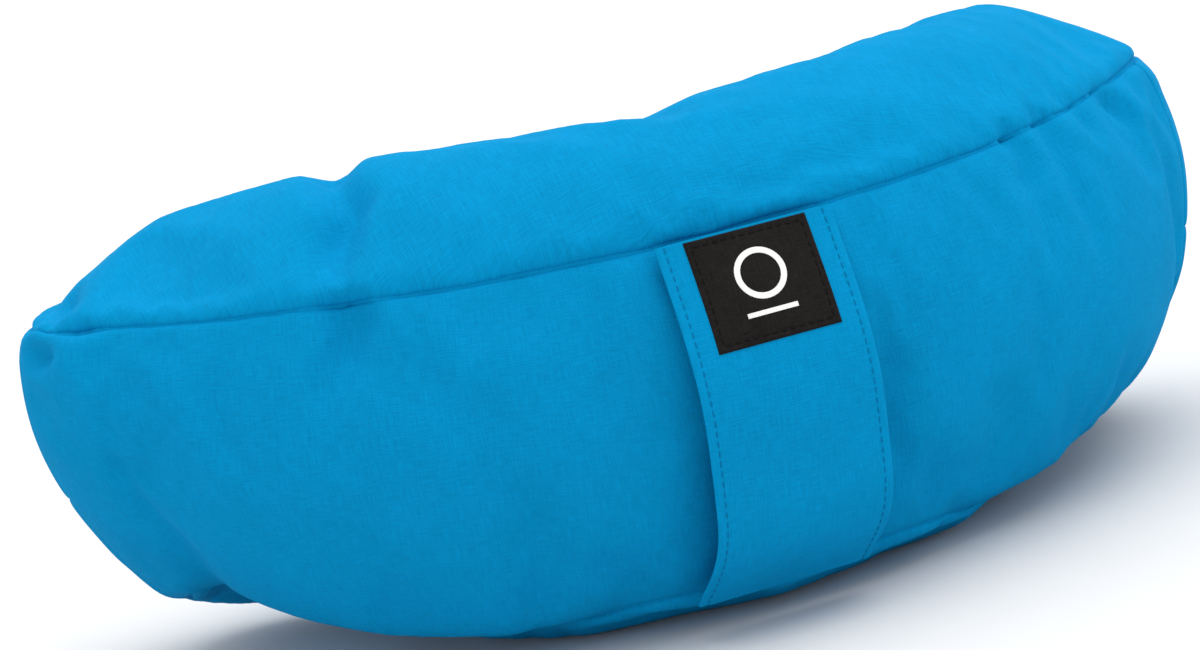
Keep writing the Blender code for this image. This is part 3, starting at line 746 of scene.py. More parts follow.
def channel_halves(xs):
    """Half the height of the zip's channel at each x: open along the chain, then closing to a seam."""
    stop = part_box("cover_zip_stop_right")[1].x + 3 * MM
    shut = smooth_step((np.abs(xs) - stop) / CHANNEL_CLOSING)
    return CHANNEL_HALF + (SHUT_HALF - CHANNEL_HALF) * shut


def split_back(cover):
    """The back band's columns above and below the zip's channel, and their runs."""
    station = cover.station
    order = list(range(station.front_count, station.count)) + [0]
    columns = cover.band[order]
    runs = station.run[order].copy()
    runs[-1] = station.total
    low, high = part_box("cover_zip_coil_lower")[0].z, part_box("cover_zip_coil_upper")[1].z
    middle = (low + high) / 2
    halfway = columns[:, cover.rows // 2]
    on_zip = (np.abs(halfway[:, 0]) < CHANNEL_REACH) & (halfway[:, 1] > 0)
    half = np.where(on_zip, channel_halves(halfway[:, 0]), SHUT_HALF)
    rows = cover.rows // 2 + 2
    above = level_of_height(columns, cover.levels, middle + half)
    below = level_of_height(columns, cover.levels, middle - half)
    upper = at_level(columns, cover.levels, [np.linspace(0, level, rows) for level in above])
    lower = at_level(columns, cover.levels, [np.linspace(level, 1, rows) for level in below])
    return upper, lower, runs


def sew_panels(cover, material):
    """The cover's five panels as separate cloths that meet in their seams. Returns the back's columns."""
    station, cloth = cover.station, cover.cloth
    edge_top, edge_low = cover.band[:, 0], cover.band[:, -1]
    top = np.concatenate([edge_top, cover.top])
    low = np.concatenate([edge_low, cover.bottom])
    turned = [face[::-1] for face in cover.triangles]
    upper, lower, runs = split_back(cover)
    front = slice(0, station.front_count + 1)
    pieces = (
        cloth_piece("top_panel", top, cover.triangles, top[:, :2], cloth),
        cloth_piece("bottom_panel", low, turned, low[:, :2], cloth),
        band_piece("front_band", cover.band[front], station.run[front], cloth),
        band_piece("back_band_upper", upper, runs, cloth),
        band_piece("back_band_lower", lower, runs, cloth),
    )
    for piece in pieces:
        piece.data.materials.append(material)
        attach(piece, CUSHION)
        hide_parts(f"cover_{piece.name}")
    return upper, lower


def shrunken(cover, name, depth, room):
    """A closed skin inside the cover, with extra room behind the zip."""
    points, ways = cover.points(), outward(cover)
    hollow = smooth_step((ZIP_ROOM_REACH - np.abs(points[:, 0])) / ZIP_ROOM_CLOSING)
    hollow *= points[:, 1] > BACK_FROM
    station_level = np.sin(math.pi * np.broadcast_to(cover.levels, cover.band.shape[:2])).ravel()
    strength = np.zeros(len(points))
    strength[: len(station_level)] = station_level * hollow[: len(station_level)]
    mesh = cover.closed_mesh(name)
    inner = points - ways * (depth + room * strength)[:, None]
    mesh.vertices.foreach_set("co", inner.astype(np.float32).ravel())
    mesh.shade_smooth()
    mesh.update()
    return add_object(name, mesh)


# ------------------------------------------------------------- the strap


class StrapPath:
    """The strap's middle line seen from the side, by distance from the top seam."""

    def __init__(self, strap, shape):
        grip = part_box("handle_grip")
        out_y = (grip[0].y + grip[1].y) / 2
        self.half_width = grip[1].x
        self.skew = strap.skew
        seam_y = front_seam_y() - 2 * strap.half_thickness
        start = Vector((0, seam_y, shape.seam_rise + shape.wall_height))
        finish = Vector((0, seam_y, shape.seam_rise - MM))
        leaving = Vector((0, -math.sin(strap.lean), -math.cos(strap.lean)))
        returning = Vector((0, -math.sin(strap.lower_lean), math.cos(strap.lower_lean)))
        grip_top = Vector((0, out_y, grip[1].z - 4 * MM))
        grip_low = Vector((0, out_y, grip[0].z + 3 * MM))
        sweep = geometry.interpolate_bezier(
            start, start + leaving * 30 * MM, grip_top + Vector((0, 0, 20 * MM)), grip_top, 60
        )
        fall = geometry.interpolate_bezier(
            grip_low, grip_low - Vector((0, 0, 16 * MM)), finish + returning * 12 * MM, finish, 40
        )
        line = np.array([point.yz for point in list(sweep) + list(fall)])
        steps = np.linalg.norm(np.diff(line, axis=0), axis=1)
        self.at = np.concatenate([[0.0], np.cumsum(steps)])
        self.line = line
        self.length = float(self.at[-1])
        self.grip_at = float(np.interp(-(grip[0].z + grip[1].z) / 2, -line[:, 1], self.at))
        self.grip_top, self.grip_low = grip_top, grip_low
        self.start, self.finish = start, finish

    def inner_y(self, heights):
        """How far out the strap's middle line stands at each height."""
        return np.interp(-np.asarray(heights), -self.line[:, 1], self.line[:, 0])

    def frame_at(self, s):
        """The place, the way along and the way out at a distance along the strap."""
        y = np.interp(s, self.at, self.line[:, 0])
        z = np.interp(s, self.at, self.line[:, 1])
        ahead = min(s + 1.5 * MM, self.length)
        behind = max(s - 1.5 * MM, 0.0)
        rise = [np.interp(ahead, self.at, side) - np.interp(behind, self.at, side) for side in self.line.T]
        way = Vector((0, *rise)).normalized()
        return Vector((0, y, z)), way, Vector((0, way.z, -way.y))

    def point(self, x, s, lift):
        """A point of the strap: across it, along it, and out of its middle line."""
        spot, _, out = self.frame_at(s)
        share = s / self.length
        loose = math.sin(math.pi * share)
        bow = 0.9 * MM * loose * (1 - (x / self.half_width) ** 2)
        wave = 0.7 * MM * loose * noise.noise(Vector((x / 0.045, s / 0.040, 4.2)))
        return spot + Vector((x + self.skew * share**2, 0, 0)) + out * (lift + bow + wave)


def strap_surface(strap, path, x):
    """Half the strap's thickness at a distance across it, with a valley under the stitching."""
    share = min(abs(x) / path.half_width, 1.0)
    round_edge = math.sqrt(max(1 - share**24, 0.0))
    off = (abs(x) - (path.half_width - strap.stitch_inset)) / (0.9 * MM)
    return strap.half_thickness * round_edge - 0.34 * MM * math.exp(-(off**2))


def strap_half(name, strap, path, start, end, rows):
    """One half of the strap as a flat tube of cloth."""
    half = path.half_width
    inset = strap.stitch_inset
    edge = [half, half - 0.12 * MM, half - 0.4 * MM, half - 1.0 * MM, half - 0.7 * inset, half - inset]
    inner = list(np.linspace(half - 1.5 * inset, -half + 1.5 * inset, 16))
    across = [-x for x in edge] + inner[::-1] + edge[::-1]
    form = bmesh.new()
    layer = form.loops.layers.uv.new("flat")
    rings, flats = [], []
    for s in np.linspace(start, end, rows):
        outer = [path.point(x, s, strap_surface(strap, path, x)) for x in across]
        under = [path.point(x, s, -strap_surface(strap, path, x)) for x in across[-2:0:-1]]
        rings.append([form.verts.new(point) for point in outer + under])
        flats.append([(x, -s) for x in across + across[-2:0:-1]])
    for k in range(rows - 1):
        for i in range(len(rings[0])):
            j = (i + 1) % len(rings[0])
            corners = ((k, i), (k + 1, i), (k + 1, j), (k, j))
            face = form.faces.new([rings[a][b] for a, b in corners])
            face.smooth = True
            for loop, (a, b) in zip(face.loops, corners):
                loop[layer].uv = flats[a][b]
    for ring in (rings[0], rings[-1][::-1]):
        for edge in form.faces.new(ring).edges:
            edge.smooth = False
    return finish_form(name, form)


def finish_form(name, form):
    """Turns a finished form into an object, with its faces pointing out."""
    mesh = bpy.data.meshes.new(name)
    bmesh.ops.recalc_face_normals(form, faces=form.faces)
    form.to_mesh(mesh)
    form.free()
    return add_object(name, mesh)


def draped_slab(form, layer, rows, place, low, high, closed=False):
    """A thin slab laid on a curved surface: rows of (across, along) spots, and a place function."""
    tops = [[form.verts.new(place(x, s, high(x, s))) for x, s in row] for row in rows]
    unders = [[form.verts.new(place(x, s, low)) for x, s in row] for row in rows]
    columns = len(rows[0])
    last = columns if closed else columns - 1
    for a in range(len(rows) - 1):
        for i in range(last):
            j = (i + 1) % columns
            spots = (rows[a][i], rows[a][j], rows[a + 1][j], rows[a + 1][i])
            for sheet, turn in ((tops, 1), (unders, -1)):
                corners = [sheet[a][i], sheet[a][j], sheet[a + 1][j], sheet[a + 1][i]][::turn]
                face = form.faces.new(corners)
                face.smooth = True
                for loop, spot in zip(face.loops, spots[::turn]):
                    loop[layer].uv = (spot[0], -spot[1])
    walls = [(0, i, 0, (i + 1) % columns) for i in range(last)]
    walls += [(len(rows) - 1, (i + 1) % columns, len(rows) - 1, i) for i in range(last)]
    if not closed:
        walls += [(a + 1, 0, a, 0) for a in range(len(rows) - 1)]
        walls += [(a, columns - 1, a + 1, columns - 1) for a in range(len(rows) - 1)]
    for a, i, b, j in walls:
        form.faces.new((tops[b][j], tops[a][i], unders[a][i], unders[b][j]))


def add_stitch(form, middle, way, up, long, radius):
    """One stitch, a small lens of thread."""
    side = way.cross(up).normalized()
    columns = (way.normalized() * long / 2, side * radius, up.normalized() * radius)
    matrix = Matrix((columns[0], columns[1], columns[2])).transposed().to_4x4()
    matrix.translation = middle
    bmesh.ops.create_uvsphere(form, u_segments=8, v_segments=5, radius=1.0, matrix=matrix)


def stitched_line(form, points, ups, strap):
    """Stitches at an even pitch along a run of points."""
    points = [Vector(point) for point in points]
    legs = [(b - a).length for a, b in zip(points, points[1:])]
    at = np.concatenate([[0.0], np.cumsum(legs)])
    pitch = strap.stitch + strap.stitch_gap
    for number in range(int(at[-1] / pitch)):
        middle = (number + 0.5) * at[-1] / int(at[-1] / pitch)
        k = min(int(np.searchsorted(at, middle, side="right")) - 1, len(legs) - 1)
        share = (middle - at[k]) / legs[k]
        spot = points[k].lerp(points[k + 1], share)
        up = Vector(ups[k]).lerp(Vector(ups[k + 1]), share).normalized()
        add_stitch(form, spot, points[k + 1] - points[k], up, strap.stitch, strap.thread_radius)


def strap_stitching(name, strap, path, start, end):
    """A line of stitches along both edges of half the strap."""
    form = bmesh.new()
    for sign in (-1, 1):
        x = sign * (path.half_width - strap.stitch_inset)
        runs = np.linspace(start, end, 40)
        lift = strap_surface(strap, path, x) + 0.08 * MM
        points = [path.point(x, s, lift) for s in runs]
        stitched_line(form, points, [path.frame_at(s)[2] for s in runs], strap)
    return finish_form(name, form)


# -------------------------------------------------------------- the label


class LabelPatch:
    """The label's place on the strap: its half width, and where it starts and ends along the strap."""

    def __init__(self, strap, path):
        low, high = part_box("label_patch")
        self.half = high.x
        self.top = 0.8 * MM
        lean = (low.y - high.y) / (low.z - high.z)
        self.bottom = self.top + (high.z - low.z) / math.cos(math.atan(lean))
        self.strap, self.path = strap, path
        self.floor = strap.half_thickness
        self.face = self.floor + strap.label_thickness

    def edge_gap(self, x, s):
        """How far a spot lies inside the label's edge."""
        return min(self.half - abs(x), s - self.top, self.bottom - s)

    def lift(self, x, s):
        """The height of the label's face, rounded at its edge and pressed in under its stitches."""
        gap = self.edge_gap(x, s)
        worn = quarter_round(gap / (0.5 * MM))
        off = (gap - self.strap.label_stitch_inset) / (0.6 * MM)
        return self.floor + self.strap.label_thickness * worn - 0.16 * MM * math.exp(-(off**2))


def quarter_round(t):
    """The height of a rounded edge at a share of its radius."""
    t = min(max(t, 0.0), 1.0)
    return math.sqrt(t * (2 - t))


def label_mesh(patch):
    """The label itself, with finer rows near its edges."""
    form = bmesh.new()
    layer = form.loops.layers.uv.new("flat")
    half, top, bottom, even = patch.half, patch.top, patch.bottom, FINE_ZONE * MM
    ends = [half - value * MM for value in FINE_ROWS]
    xs = [-x for x in ends] + list(np.linspace(-half + even, half - even, 18)) + ends[::-1]
    heads = [top + value * MM for value in FINE_ROWS]
    tails = [bottom - value * MM for value in FINE_ROWS]
    ss = heads + list(np.linspace(top + even, bottom - even, 16)) + tails[::-1]
    rows = [[(x, s) for x in xs] for s in ss]
    draped_slab(form, layer, rows, patch.path.point, patch.floor - 0.2 * MM, patch.lift)
    return finish_form("label", form)


def label_print(patch):
    """A plain ring over a plain bar."""
    form = bmesh.new()
    layer = form.loops.layers.uv.new("flat")
    low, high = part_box("label_emblem")
    radius = (high.x - low.x) / 2 * 0.84
    middle = (patch.top + patch.bottom) / 2 - 3.2 * MM
    turns = [i * 2 * math.pi / RING_SIDES for i in range(RING_SIDES)]
    insets = (0.0, RING_SLOPE, RING_WIDTH - RING_SLOPE, RING_WIDTH)
    rows = [
        [((radius - inset * MM) * math.sin(a), middle + (radius - inset * MM) * math.cos(a)) for a in turns]
        for inset in insets
    ]
    ink = patch.face + 0.07 * MM
    draped_slab(form, layer, rows, patch.path.point, patch.face - 0.1 * MM, lambda x, s: ink, closed=True)
    bar = middle + radius + 4.2 * MM
    shifts = (-BAR_HALF, BAR_SLOPE - BAR_HALF, BAR_HALF - BAR_SLOPE, BAR_HALF)
    rows = [[(x, bar + shift * MM) for x in np.linspace(-radius, radius, 24)] for shift in shifts]
    draped_slab(form, layer, rows, patch.path.point, patch.face - 0.1 * MM, lambda x, s: ink)
    return finish_form("label_print", form)


def label_stitching(patch):
    """A line of stitches round the label."""
    form = bmesh.new()
    inset = patch.strap.label_stitch_inset
    half, top, bottom = patch.half - inset, patch.top + inset, patch.bottom - inset
    corners = [(-half, top), (half, top), (half, bottom), (-half, bottom), (-half, top)]
    for (x0, s0), (x1, s1) in zip(corners, corners[1:]):
        shares = np.linspace(0, 1, 20)
        spots = [(x0 + (x1 - x0) * t, s0 + (s1 - s0) * t) for t in shares]
        points = [patch.path.point(x, s, patch.face - 0.02 * MM) for x, s in spots]
        stitched_line(form, points, [patch.path.frame_at(s)[2] for _, s in spots], patch.strap)
    return finish_form("label_stitching", form)


# ---------------------------------------------------------------- the zip


def zip_arc(node):
    """The centre of the zip's arc, and a strip's radius, half angle and height there."""
    joint = next(item for item in frame["joints"] if item["child"] == "cover_slider")
    centre = Vector(joint["pos_m"])
    low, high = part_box(node)
    radius = centre.y - low.y
    half_angle = math.asin(high.x / radius)
    return centre, radius, half_angle, low.z, high.z


def coil_of(name, node, sign):
    """The nylon coil along one side of the chain, wound round the tape's edge."""
    centre, radius, half_angle, low, high = zip_arc(node)
    thickness, wire, pitch = 1.4 * MM, 0.26 * MM, 1.15 * MM
    turns = int(2 * half_angle * radius / pitch)
    curve = bpy.data.curves.new(name, "CURVE")
    curve.dimensions = "3D"
    curve.bevel_depth = wire
    curve.bevel_resolution = 1
    curve.use_fill_caps = True
    spline = curve.splines.new("POLY")
    sides = 8
    spline.points.add(turns * sides)
    middle, reach = (low + high) / 2, (high - low) / 2 - wire
    for k, point in enumerate(spline.points):
        turn = 2 * math.pi * k / sides
        angle = half_angle * (2 * k / (turns * sides) - 1)
        depth = radius - thickness / 2 + (thickness / 2 - wire) * math.sin(turn)
        rise = middle + sign * reach * math.cos(turn)
        point.co = (centre.x + depth * math.sin(angle), centre.y - depth * math.cos(angle), rise, 1.0)
    return add_object(name, curve)


def zip_stitching(name, columns, edge_row, inward, strap):
    """Stitching beside the zip's channel, on the band above or below it."""
    form = bmesh.new()
    points, ups = [], []
    for column in columns:
        if abs(column[edge_row][0]) > ZIP_STITCH_REACH or column[edge_row][1] < 0:
            continue
        edge, away = Vector(column[edge_row]), Vector(column[edge_row + 2 * inward])
        way = (away - edge).normalized()
        points.append(edge + way * ZIP_STITCH_INSET)
        out = Vector((1, 0, 0)).cross(way)
        ups.append(out if out.y > 0 else -out)
    points = [point + up * 0.10 * MM for point, up in zip(points, ups)]
    stitched_line(form, points, ups, strap)
    return finish_form(name, form)


# -------------------------------------------------------------- finishes


def finish_base(name, roughness, sheen=0.0, metallic=0.0, specular=0.5):
    """A new material with its plain numbers set, its node tree and its shader."""
    material = bpy.data.materials.new(name)
    material.use_nodes = True
    tree = material.node_tree
    shader = tree.nodes["Principled BSDF"]
    shader.inputs["Roughness"].default_value = roughness
    shader.inputs["Metallic"].default_value = metallic
    shader.inputs["Specular IOR Level"].default_value = specular
    shader.inputs["Sheen Weight"].default_value = sheen
    shader.inputs["Sheen Roughness"].default_value = 0.45
    return material, tree, shader


def flat_place(tree):
    """Places on the cloth as it was cut, in metres."""
    place = tree.nodes.new("ShaderNodeUVMap")
    place.uv_map = "flat"
    return place.outputs["UV"]


def solid_place(tree):
    """Places in the piece's own space, in metres."""
    return tree.nodes.new("ShaderNodeTexCoord").outputs["Object"]


def streaks(tree, place, size, detail=2.0):
    """Noise with its own size along each axis."""
    stretch = tree.nodes.new("ShaderNodeMapping")
    stretch.inputs["Scale"].default_value = tuple(1 / value for value in size)
    tree.links.new(place, stretch.inputs["Vector"])
    cloud = tree.nodes.new("ShaderNodeTexNoise")
    cloud.inputs["Scale"].default_value = 1.0
    cloud.inputs["Detail"].default_value = detail
    tree.links.new(stretch.outputs["Vector"], cloud.inputs["Vector"])
    return cloud.outputs["Fac"]


def bands(tree, place, axis, pitch):
    """Even ridges across one axis, one ridge to each pitch."""
    wave = tree.nodes.new("ShaderNodeTexWave")
    wave.wave_type = "BANDS"
    wave.bands_direction = axis
    wave.wave_profile = "SIN"
    wave.inputs["Scale"].default_value = math.pi / 10 / pitch
    tree.links.new(place, wave.inputs["Vector"])
    return wave.outputs["Fac"]


def combine(tree, operation, first, second):
    """A sum or product of two values, each a socket or a number."""
    node = tree.nodes.new("ShaderNodeMath")
    node.operation = operation
    for socket, value in zip(node.inputs, (first, second)):
        if isinstance(value, (int, float)):
            socket.default_value = value
        else:
            tree.links.new(value, socket)
    return node.outputs["Value"]


def shade(tree, shader, value, tone, low, high, start=0.35, end=0.65):
    """Colours the surface from a darker to a lighter shade of a tone as a value rises."""
    ramp = tree.nodes.new("ShaderNodeValToRGB")
    ends = ramp.color_ramp.elements
    ends[0].position, ends[1].position = start, end
    ends[0].color = (*[min(part * low, 1.0) for part in tone], 1.0)
    ends[1].color = (*[min(part * high, 1.0) for part in tone], 1.0)
    tree.links.new(value, ramp.inputs["Fac"])
    tree.links.new(ramp.outputs["Color"], shader.inputs["Base Color"])


def raise_bumps(tree, shader, value, height):
    """Raises the surface by up to a height where a value is 1."""
    bump = tree.nodes.new("ShaderNodeBump")
    bump.inputs["Strength"].default_value = 1.0
    bump.inputs["Distance"].default_value = height
    tree.links.new(value, bump.inputs["Height"])
    tree.links.new(bump.outputs["Normal"], shader.inputs["Normal"])


def plain_weave(name, tone, pitch, height, depth, roughness, sheen, cut_place=True):
    """Cloth of crossed threads of uneven thickness, matt, with a soft sheen."""
    material, tree, shader = finish_base(name, roughness, sheen, specular=0.03)
    place = flat_place(tree) if cut_place else solid_place(tree)
    warp = streaks(tree, place, (pitch, 18 * pitch, pitch * 9))
    weft = streaks(tree, place, (14 * pitch, pitch, pitch))
    cloud = streaks(tree, place, (0.030, 0.030, 0.030))
    threads = combine(tree, "ADD", warp, weft)
    across = bands(tree, place, "X", 2 * pitch)
    down = bands(tree, place, "Y", 2 * pitch)
    crossing = combine(tree, "MULTIPLY", across, down)
    spread = combine(tree, "MULTIPLY", threads, 0.42)
    mottle = combine(tree, "ADD", spread, combine(tree, "MULTIPLY", cloud, 0.16))
    shade(tree, shader, mottle, tone, 1 - depth, 1 + depth, 0.40, 0.60)
    relief = combine(tree, "ADD", threads, combine(tree, "MULTIPLY", crossing, 0.25))
    raise_bumps(tree, shader, relief, height)
    shader.inputs["Sheen Tint"].default_value = (*tone, 1.0)
    return material


def ribbed_tape(name, tone):
    """Zip tape: close ribs along the tape."""
    material, tree, shader = finish_base(name, 0.75, 0.2, specular=0.25)
    place = solid_place(tree)
    ribs = combine(tree, "ADD", bands(tree, place, "Z", 0.5 * MM), bands(tree, place, "X", 0.7 * MM))
    shade(tree, shader, streaks(tree, place, (0.9 * MM, 0.9 * MM, 0.5 * MM)), tone, 0.85, 1.15)
    raise_bumps(tree, shader, ribs, 0.12 * MM)
    return material


def mottled(name, tone, roughness, grain, height, depth=0.12, sheen=0.0, metallic=0.0, specular=0.5):
    """A plain substance with a fine grain: nylon, thread, print, metal."""
    material, tree, shader = finish_base(name, roughness, sheen, metallic, specular)
    place = solid_place(tree)
    grains = streaks(tree, place, (grain, grain, grain), detail=3.0)
    shade(tree, shader, grains, tone, 1 - depth, 1 + depth)
    raise_bumps(tree, shader, grains, height)
    if metallic:
        rough = tree.nodes.new("ShaderNodeMapRange")
        rough.inputs["To Min"].default_value = roughness - 0.08
        rough.inputs["To Max"].default_value = roughness + 0.12
        tree.links.new(streaks(tree, place, (8 * MM, 0.3 * MM, 0.3 * MM)), rough.inputs["Value"])
        tree.links.new(rough.outputs["Result"], shader.inputs["Roughness"])
    return material


def loose_hulls(name, tone):
    """Packed hulls: small dark shells."""
    material, tree, shader = finish_base(name, 0.6)
    place = solid_place(tree)
    shells = tree.nodes.new("ShaderNodeTexVoronoi")
    shells.inputs["Scale"].default_value = 230.0
    tree.links.new(place, shells.inputs["Vector"])
    shade(tree, shader, shells.outputs["Distance"], tone, 1.5, 0.6, 0.1, 0.7)
    raise_bumps(tree, shader, shells.outputs["Distance"], -1.0 * MM)
    return material


def finish_named(name):
    """The cushion's finishes, each made once."""
    made = bpy.data.materials.get(name)
    if made:
        return made
    tones = bpy.context.scene.cushion_colours
    makers = {
        "cotton": lambda: plain_weave(name, tones.cotton, 0.42 * MM, 0.13 * MM, 0.10, 0.92, 0.07),
        "thread": lambda: mottled(name, tones.thread, 0.8, 0.25 * MM, 0.05 * MM, specular=0.06),
        "dark_thread": lambda: mottled(name, tones.label_thread, 0.8, 0.25 * MM, 0.05 * MM, specular=0.1),
        "label_cloth": lambda: plain_weave(name, tones.label, 0.32 * MM, 0.09 * MM, 0.30, 0.80, 0.10),
        "print": lambda: mottled(name, tones.print_ink, 0.65, 0.35 * MM, 0.03 * MM, 0.06),
        "calico": lambda: plain_weave(
            name, tones.calico, 0.45 * MM, 0.14 * MM, 0.08, 0.9, 0.2, cut_place=False
        ),
        "hulls": lambda: loose_hulls(name, tones.hulls),
        "blue_tape": lambda: ribbed_tape(name, tones.tape),
        "blue_coil": lambda: mottled(name, tones.coil, 0.38, 0.6 * MM, 0.02 * MM),
        "white_tape": lambda: ribbed_tape(name, tones.white_tape),
        "white_coil": lambda: mottled(name, tones.white_coil, 0.38, 0.6 * MM, 0.02 * MM),
        "nickel": lambda: mottled(name, tones.nickel, 0.30, 0.25 * MM, 0.012 * MM, 0.05, metallic=1.0),
    }
    return makers[name]()


def dress_piece(obj, finish):
    """Gives a piece its finish."""
    obj.data.materials.append(finish_named(finish))
    return obj


# ------------------------------------------------------------- operators

# Holds the sewn cover for the operator that fills it.
sewn = {}


class CUSHION_OT_sew_cover(Operator):
    """Sew, fill and crease the cover, and split it into its five panels"""

    bl_idname = "cushion.sew_cover"
    bl_label = "Cover"
    bl_options = {"REGISTER", "UNDO"}

    def execute(self, context):
        scene = context.scene
        cover = Cover(scene.cushion_shape, scene.cushion_cloth)
        settle(cover)
        dress(cover, StrapPath(scene.cushion_strap, scene.cushion_shape))
        sewn["cover"] = cover
        upper, lower = sew_panels(cover, finish_named("cotton"))
        for name, columns, row, inward in (
            ("zip_stitching_upper", upper, upper.shape[1] - 1, -1),
            ("zip_stitching_lower", lower, 0, 1),
        ):
            stitching = zip_stitching(name, columns, row, inward, scene.cushion_strap)
            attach(dress_piece(stitching, "thread"), CUSHION)
        return {"FINISHED"}


class CUSHION_OT_stuff(Operator):
    """Put the inner bag and its filling inside the cover"""

    bl_idname = "cushion.stuff"
    bl_label = "Inner bag and filling"
    bl_options = {"REGISTER", "UNDO"}

    def execute(self, context):
        if "cover" not in sewn:
            raise RuntimeError("The cover has to be sewn before it is filled")
        for name, depth, room, finish, slot_name, nodes in (
            ("cover_inside", 1.2 * MM, 1.6 * MM, "cotton", "turquoise_cotton", ()),
            ("inner_bag", 2.2 * MM, 8.6 * MM, "calico", "natural_calico", LINER_NODES),
            ("filling_body", 3.6 * MM, 8.6 * MM, "hulls", "buckwheat_hulls", ("filling",)),
        ):
            body = shrunken(sewn["cover"], name, depth, room)
            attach(dress_piece(body, finish), CUSHION)
            if nodes:
                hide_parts(*nodes)
        return {"FINISHED"}


LINER_NODES = (
    "liner_top_panel",
    "liner_bottom_panel",
    "liner_front_band",
    "liner_back_band_upper",
    "liner_back_band_lower",
)


class CUSHION_OT_strap(Operator):
    """Sew the carry strap over the front, with its stitching"""

    bl_idname = "cushion.strap"
    bl_label = "Carry strap"
    bl_options = {"REGISTER", "UNDO"}

    def execute(self, context):
        strap = context.scene.cushion_strap
        path = StrapPath(strap, context.scene.cushion_shape)
        halves = (
            ("upper", 0.0, path.grip_at, 64, ("handle_upper_leg", "handle_grip"), path.start, path.grip_top),
            ("lower", path.grip_at, path.length, 44, ("handle_lower_leg",), path.finish, path.grip_low),
        )
        for side, start, end, rows, nodes, held, pulled in halves:
            half = strap_half(f"strap_{side}", strap, path, start, end, rows)
            stitching = strap_stitching(f"strap_stitching_{side}", strap, path, start, end)
            dress_piece(half, "cotton")
            dress_piece(stitching, "thread")
            for piece in (half, stitching):
                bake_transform(piece)
            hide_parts(*nodes)
        return {"FINISHED"}


class CUSHION_OT_label(Operator):
    """Sew the label on the strap, with its print and stitching"""

    bl_idname = "cushion.label"
    bl_label = "Label"
    bl_options = {"REGISTER", "UNDO"}

    def execute(self, context):
        strap = context.scene.cushion_strap
        path = StrapPath(strap, context.scene.cushion_shape)
        patch = LabelPatch(strap, path)
        rows = (
            (label_mesh(patch), "label_cloth", "black_label_cloth", "label_patch"),
            (label_print(patch), "print", "white_print", "label_emblem"),
            (label_stitching(patch), "dark_thread", "black_label_cloth", None),
        )
        for piece, finish, slot_name, node in rows:
            dress_piece(piece, finish)
            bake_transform(piece)
            if node:
                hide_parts(node)
        return {"FINISHED"}


class CUSHION_OT_zips(Operator):
    """Wind the zip's coils and finish both zips"""

    bl_idname = "cushion.zips"
    bl_label = "Zips"
    bl_options = {"REGISTER", "UNDO"}

    def execute(self, context):
        for side, sign in (("upper", 1), ("lower", -1)):
            node = f"cover_zip_coil_{side}"
            coil = coil_of(f"zip_coil_{side}", node, sign)
            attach(dress_piece(coil, "blue_coil"), CUSHION)
            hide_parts(node)
        for bag, tape, coil in (("cover", "blue_tape", "blue_coil"), ("liner", "white_tape", "white_coil")):
            finishes = {"tape_upper": tape, "tape_lower": tape, "coil_upper": coil, "coil_lower": coil}
            finishes |= dict.fromkeys(("stop_left", "stop_right", "slider", "pull_tab"), "nickel")
            for part, finish in finishes.items():
                for slot in frame["nodes"][f"{bag}_zip_{part}"].material_slots:
                    slot.material = finish_named(finish)
        return {"FINISHED"}


class CUSHION_OT_stage(Operator):
    """Set the floor, the soft light and the camera"""

    bl_idname = "cushion.stage"
    bl_label = "Stage"
    bl_options = {"REGISTER", "UNDO"}

    def execute(self, context):
        scene = context.scene
        settings = scene.cushion_stage
        add_floor()
        add_key(settings)
        world = bpy.data.worlds.new("white_room")
        world.use_nodes = True
        world.node_tree.nodes["Background"].inputs["Color"].default_value = (1.0, 1.0, 1.0, 1.0)
        world.node_tree.nodes["Background"].inputs["Strength"].default_value = settings.fill
        scene.world = world
        scene.view_settings.view_transform = "Standard"
        scene.camera = add_camera(settings)
        return {"FINISHED"}


def add_floor():
    """A pale floor that reaches past the edge of every view."""
    mesh = bpy.data.meshes.new("floor")
    far = FLOOR_REACH
    mesh.from_pydata([(-far, -far, 0), (far, -far, 0), (far, far, 0), (-far, far, 0)], [], [(0, 1, 2, 3)])
    floor = add_object("floor", mesh)
    material, tree, shader = finish_base("pale_floor", 0.9, specular=0.1)
    grain = streaks(tree, solid_place(tree), (0.02, 0.02, 0.02))
    shade(tree, shader, grain, (0.68, 0.68, 0.68), 0.995, 1.005)
    mesh.materials.append(material)


def add_key(settings):
    """A broad soft light from above, a little from behind and the right."""
    lamp = bpy.data.lights.new("key", "SUN")
    lamp.energy = settings.key
    lamp.angle = KEY_SPREAD
    obj = add_object("key", lamp)
    obj.rotation_euler = Vector(KEY_WAY).to_track_quat("-Z", "Y").to_euler()


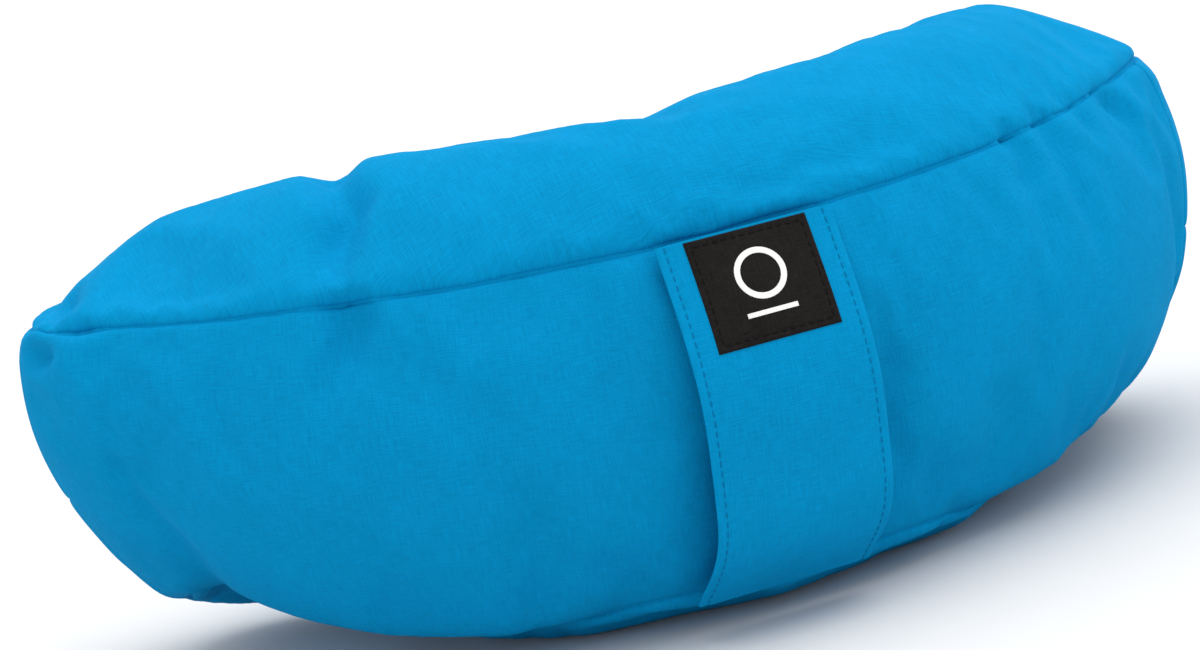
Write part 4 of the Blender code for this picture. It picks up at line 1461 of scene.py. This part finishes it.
def add_camera(settings):
    """A camera looking at the aim point from an azimuth and an elevation, with a roll."""
    azimuth, elevation = settings.azimuth, settings.elevation
    level = math.cos(elevation)
    back = Vector((math.sin(azimuth) * level, -math.cos(azimuth) * level, math.sin(elevation)))
    right = Vector((math.cos(azimuth), math.sin(azimuth), 0.0))
    up = back.cross(right)
    turned_right = right * math.cos(settings.roll) + up * math.sin(settings.roll)
    turned_up = up * math.cos(settings.roll) - right * math.sin(settings.roll)
    matrix = Matrix((turned_right, turned_up, back)).transposed().to_4x4()
    matrix.translation = Vector(settings.aim) + back * settings.distance
    lens = bpy.data.cameras.new("camera")
    lens.sensor_width = 36.0
    lens.lens = settings.lens
    camera = add_object("camera", lens)
    camera.matrix_world = matrix
    return camera


class VIEW3D_PT_cushion(Panel):
    """Lists the cushion's making in order"""

    bl_label = "Crescent Cushion"
    bl_idname = "VIEW3D_PT_cushion"
    bl_space_type = "VIEW_3D"
    bl_region_type = "UI"
    bl_category = "Cushion"

    def draw(self, context):
        layout = self.layout
        for operator in MAKING:
            layout.operator(operator.bl_idname)
        for group in SETTINGS:
            settings = getattr(context.scene, group)
            box = layout.box()
            box.label(text=group.replace("_", " ").capitalize())
            for name in settings.__annotations__:
                box.prop(settings, name)


MAKING = (
    CUSHION_OT_sew_cover,
    CUSHION_OT_stuff,
    CUSHION_OT_strap,
    CUSHION_OT_label,
    CUSHION_OT_zips,
    CUSHION_OT_stage,
)
SETTINGS = {
    "cushion_shape": CushionShape,
    "cushion_cloth": CushionCloth,
    "cushion_colours": CushionColours,
    "cushion_strap": CushionStrap,
    "cushion_stage": CushionStage,
}
CLASSES = (*SETTINGS.values(), *MAKING, VIEW3D_PT_cushion)


def register():
    for cls in CLASSES:
        bpy.utils.register_class(cls)
    for name, group in SETTINGS.items():
        setattr(bpy.types.Scene, name, PointerProperty(type=group))


def unregister():
    for name in SETTINGS:
        delattr(bpy.types.Scene, name)
    for cls in reversed(CLASSES):
        bpy.utils.unregister_class(cls)


def main():
    register()
    bpy.ops.cushion.sew_cover()
    bpy.ops.cushion.stuff()
    bpy.ops.cushion.strap()
    bpy.ops.cushion.label()
    bpy.ops.cushion.zips()
    bpy.ops.cushion.stage()


if __name__ == "__main__":
    main()
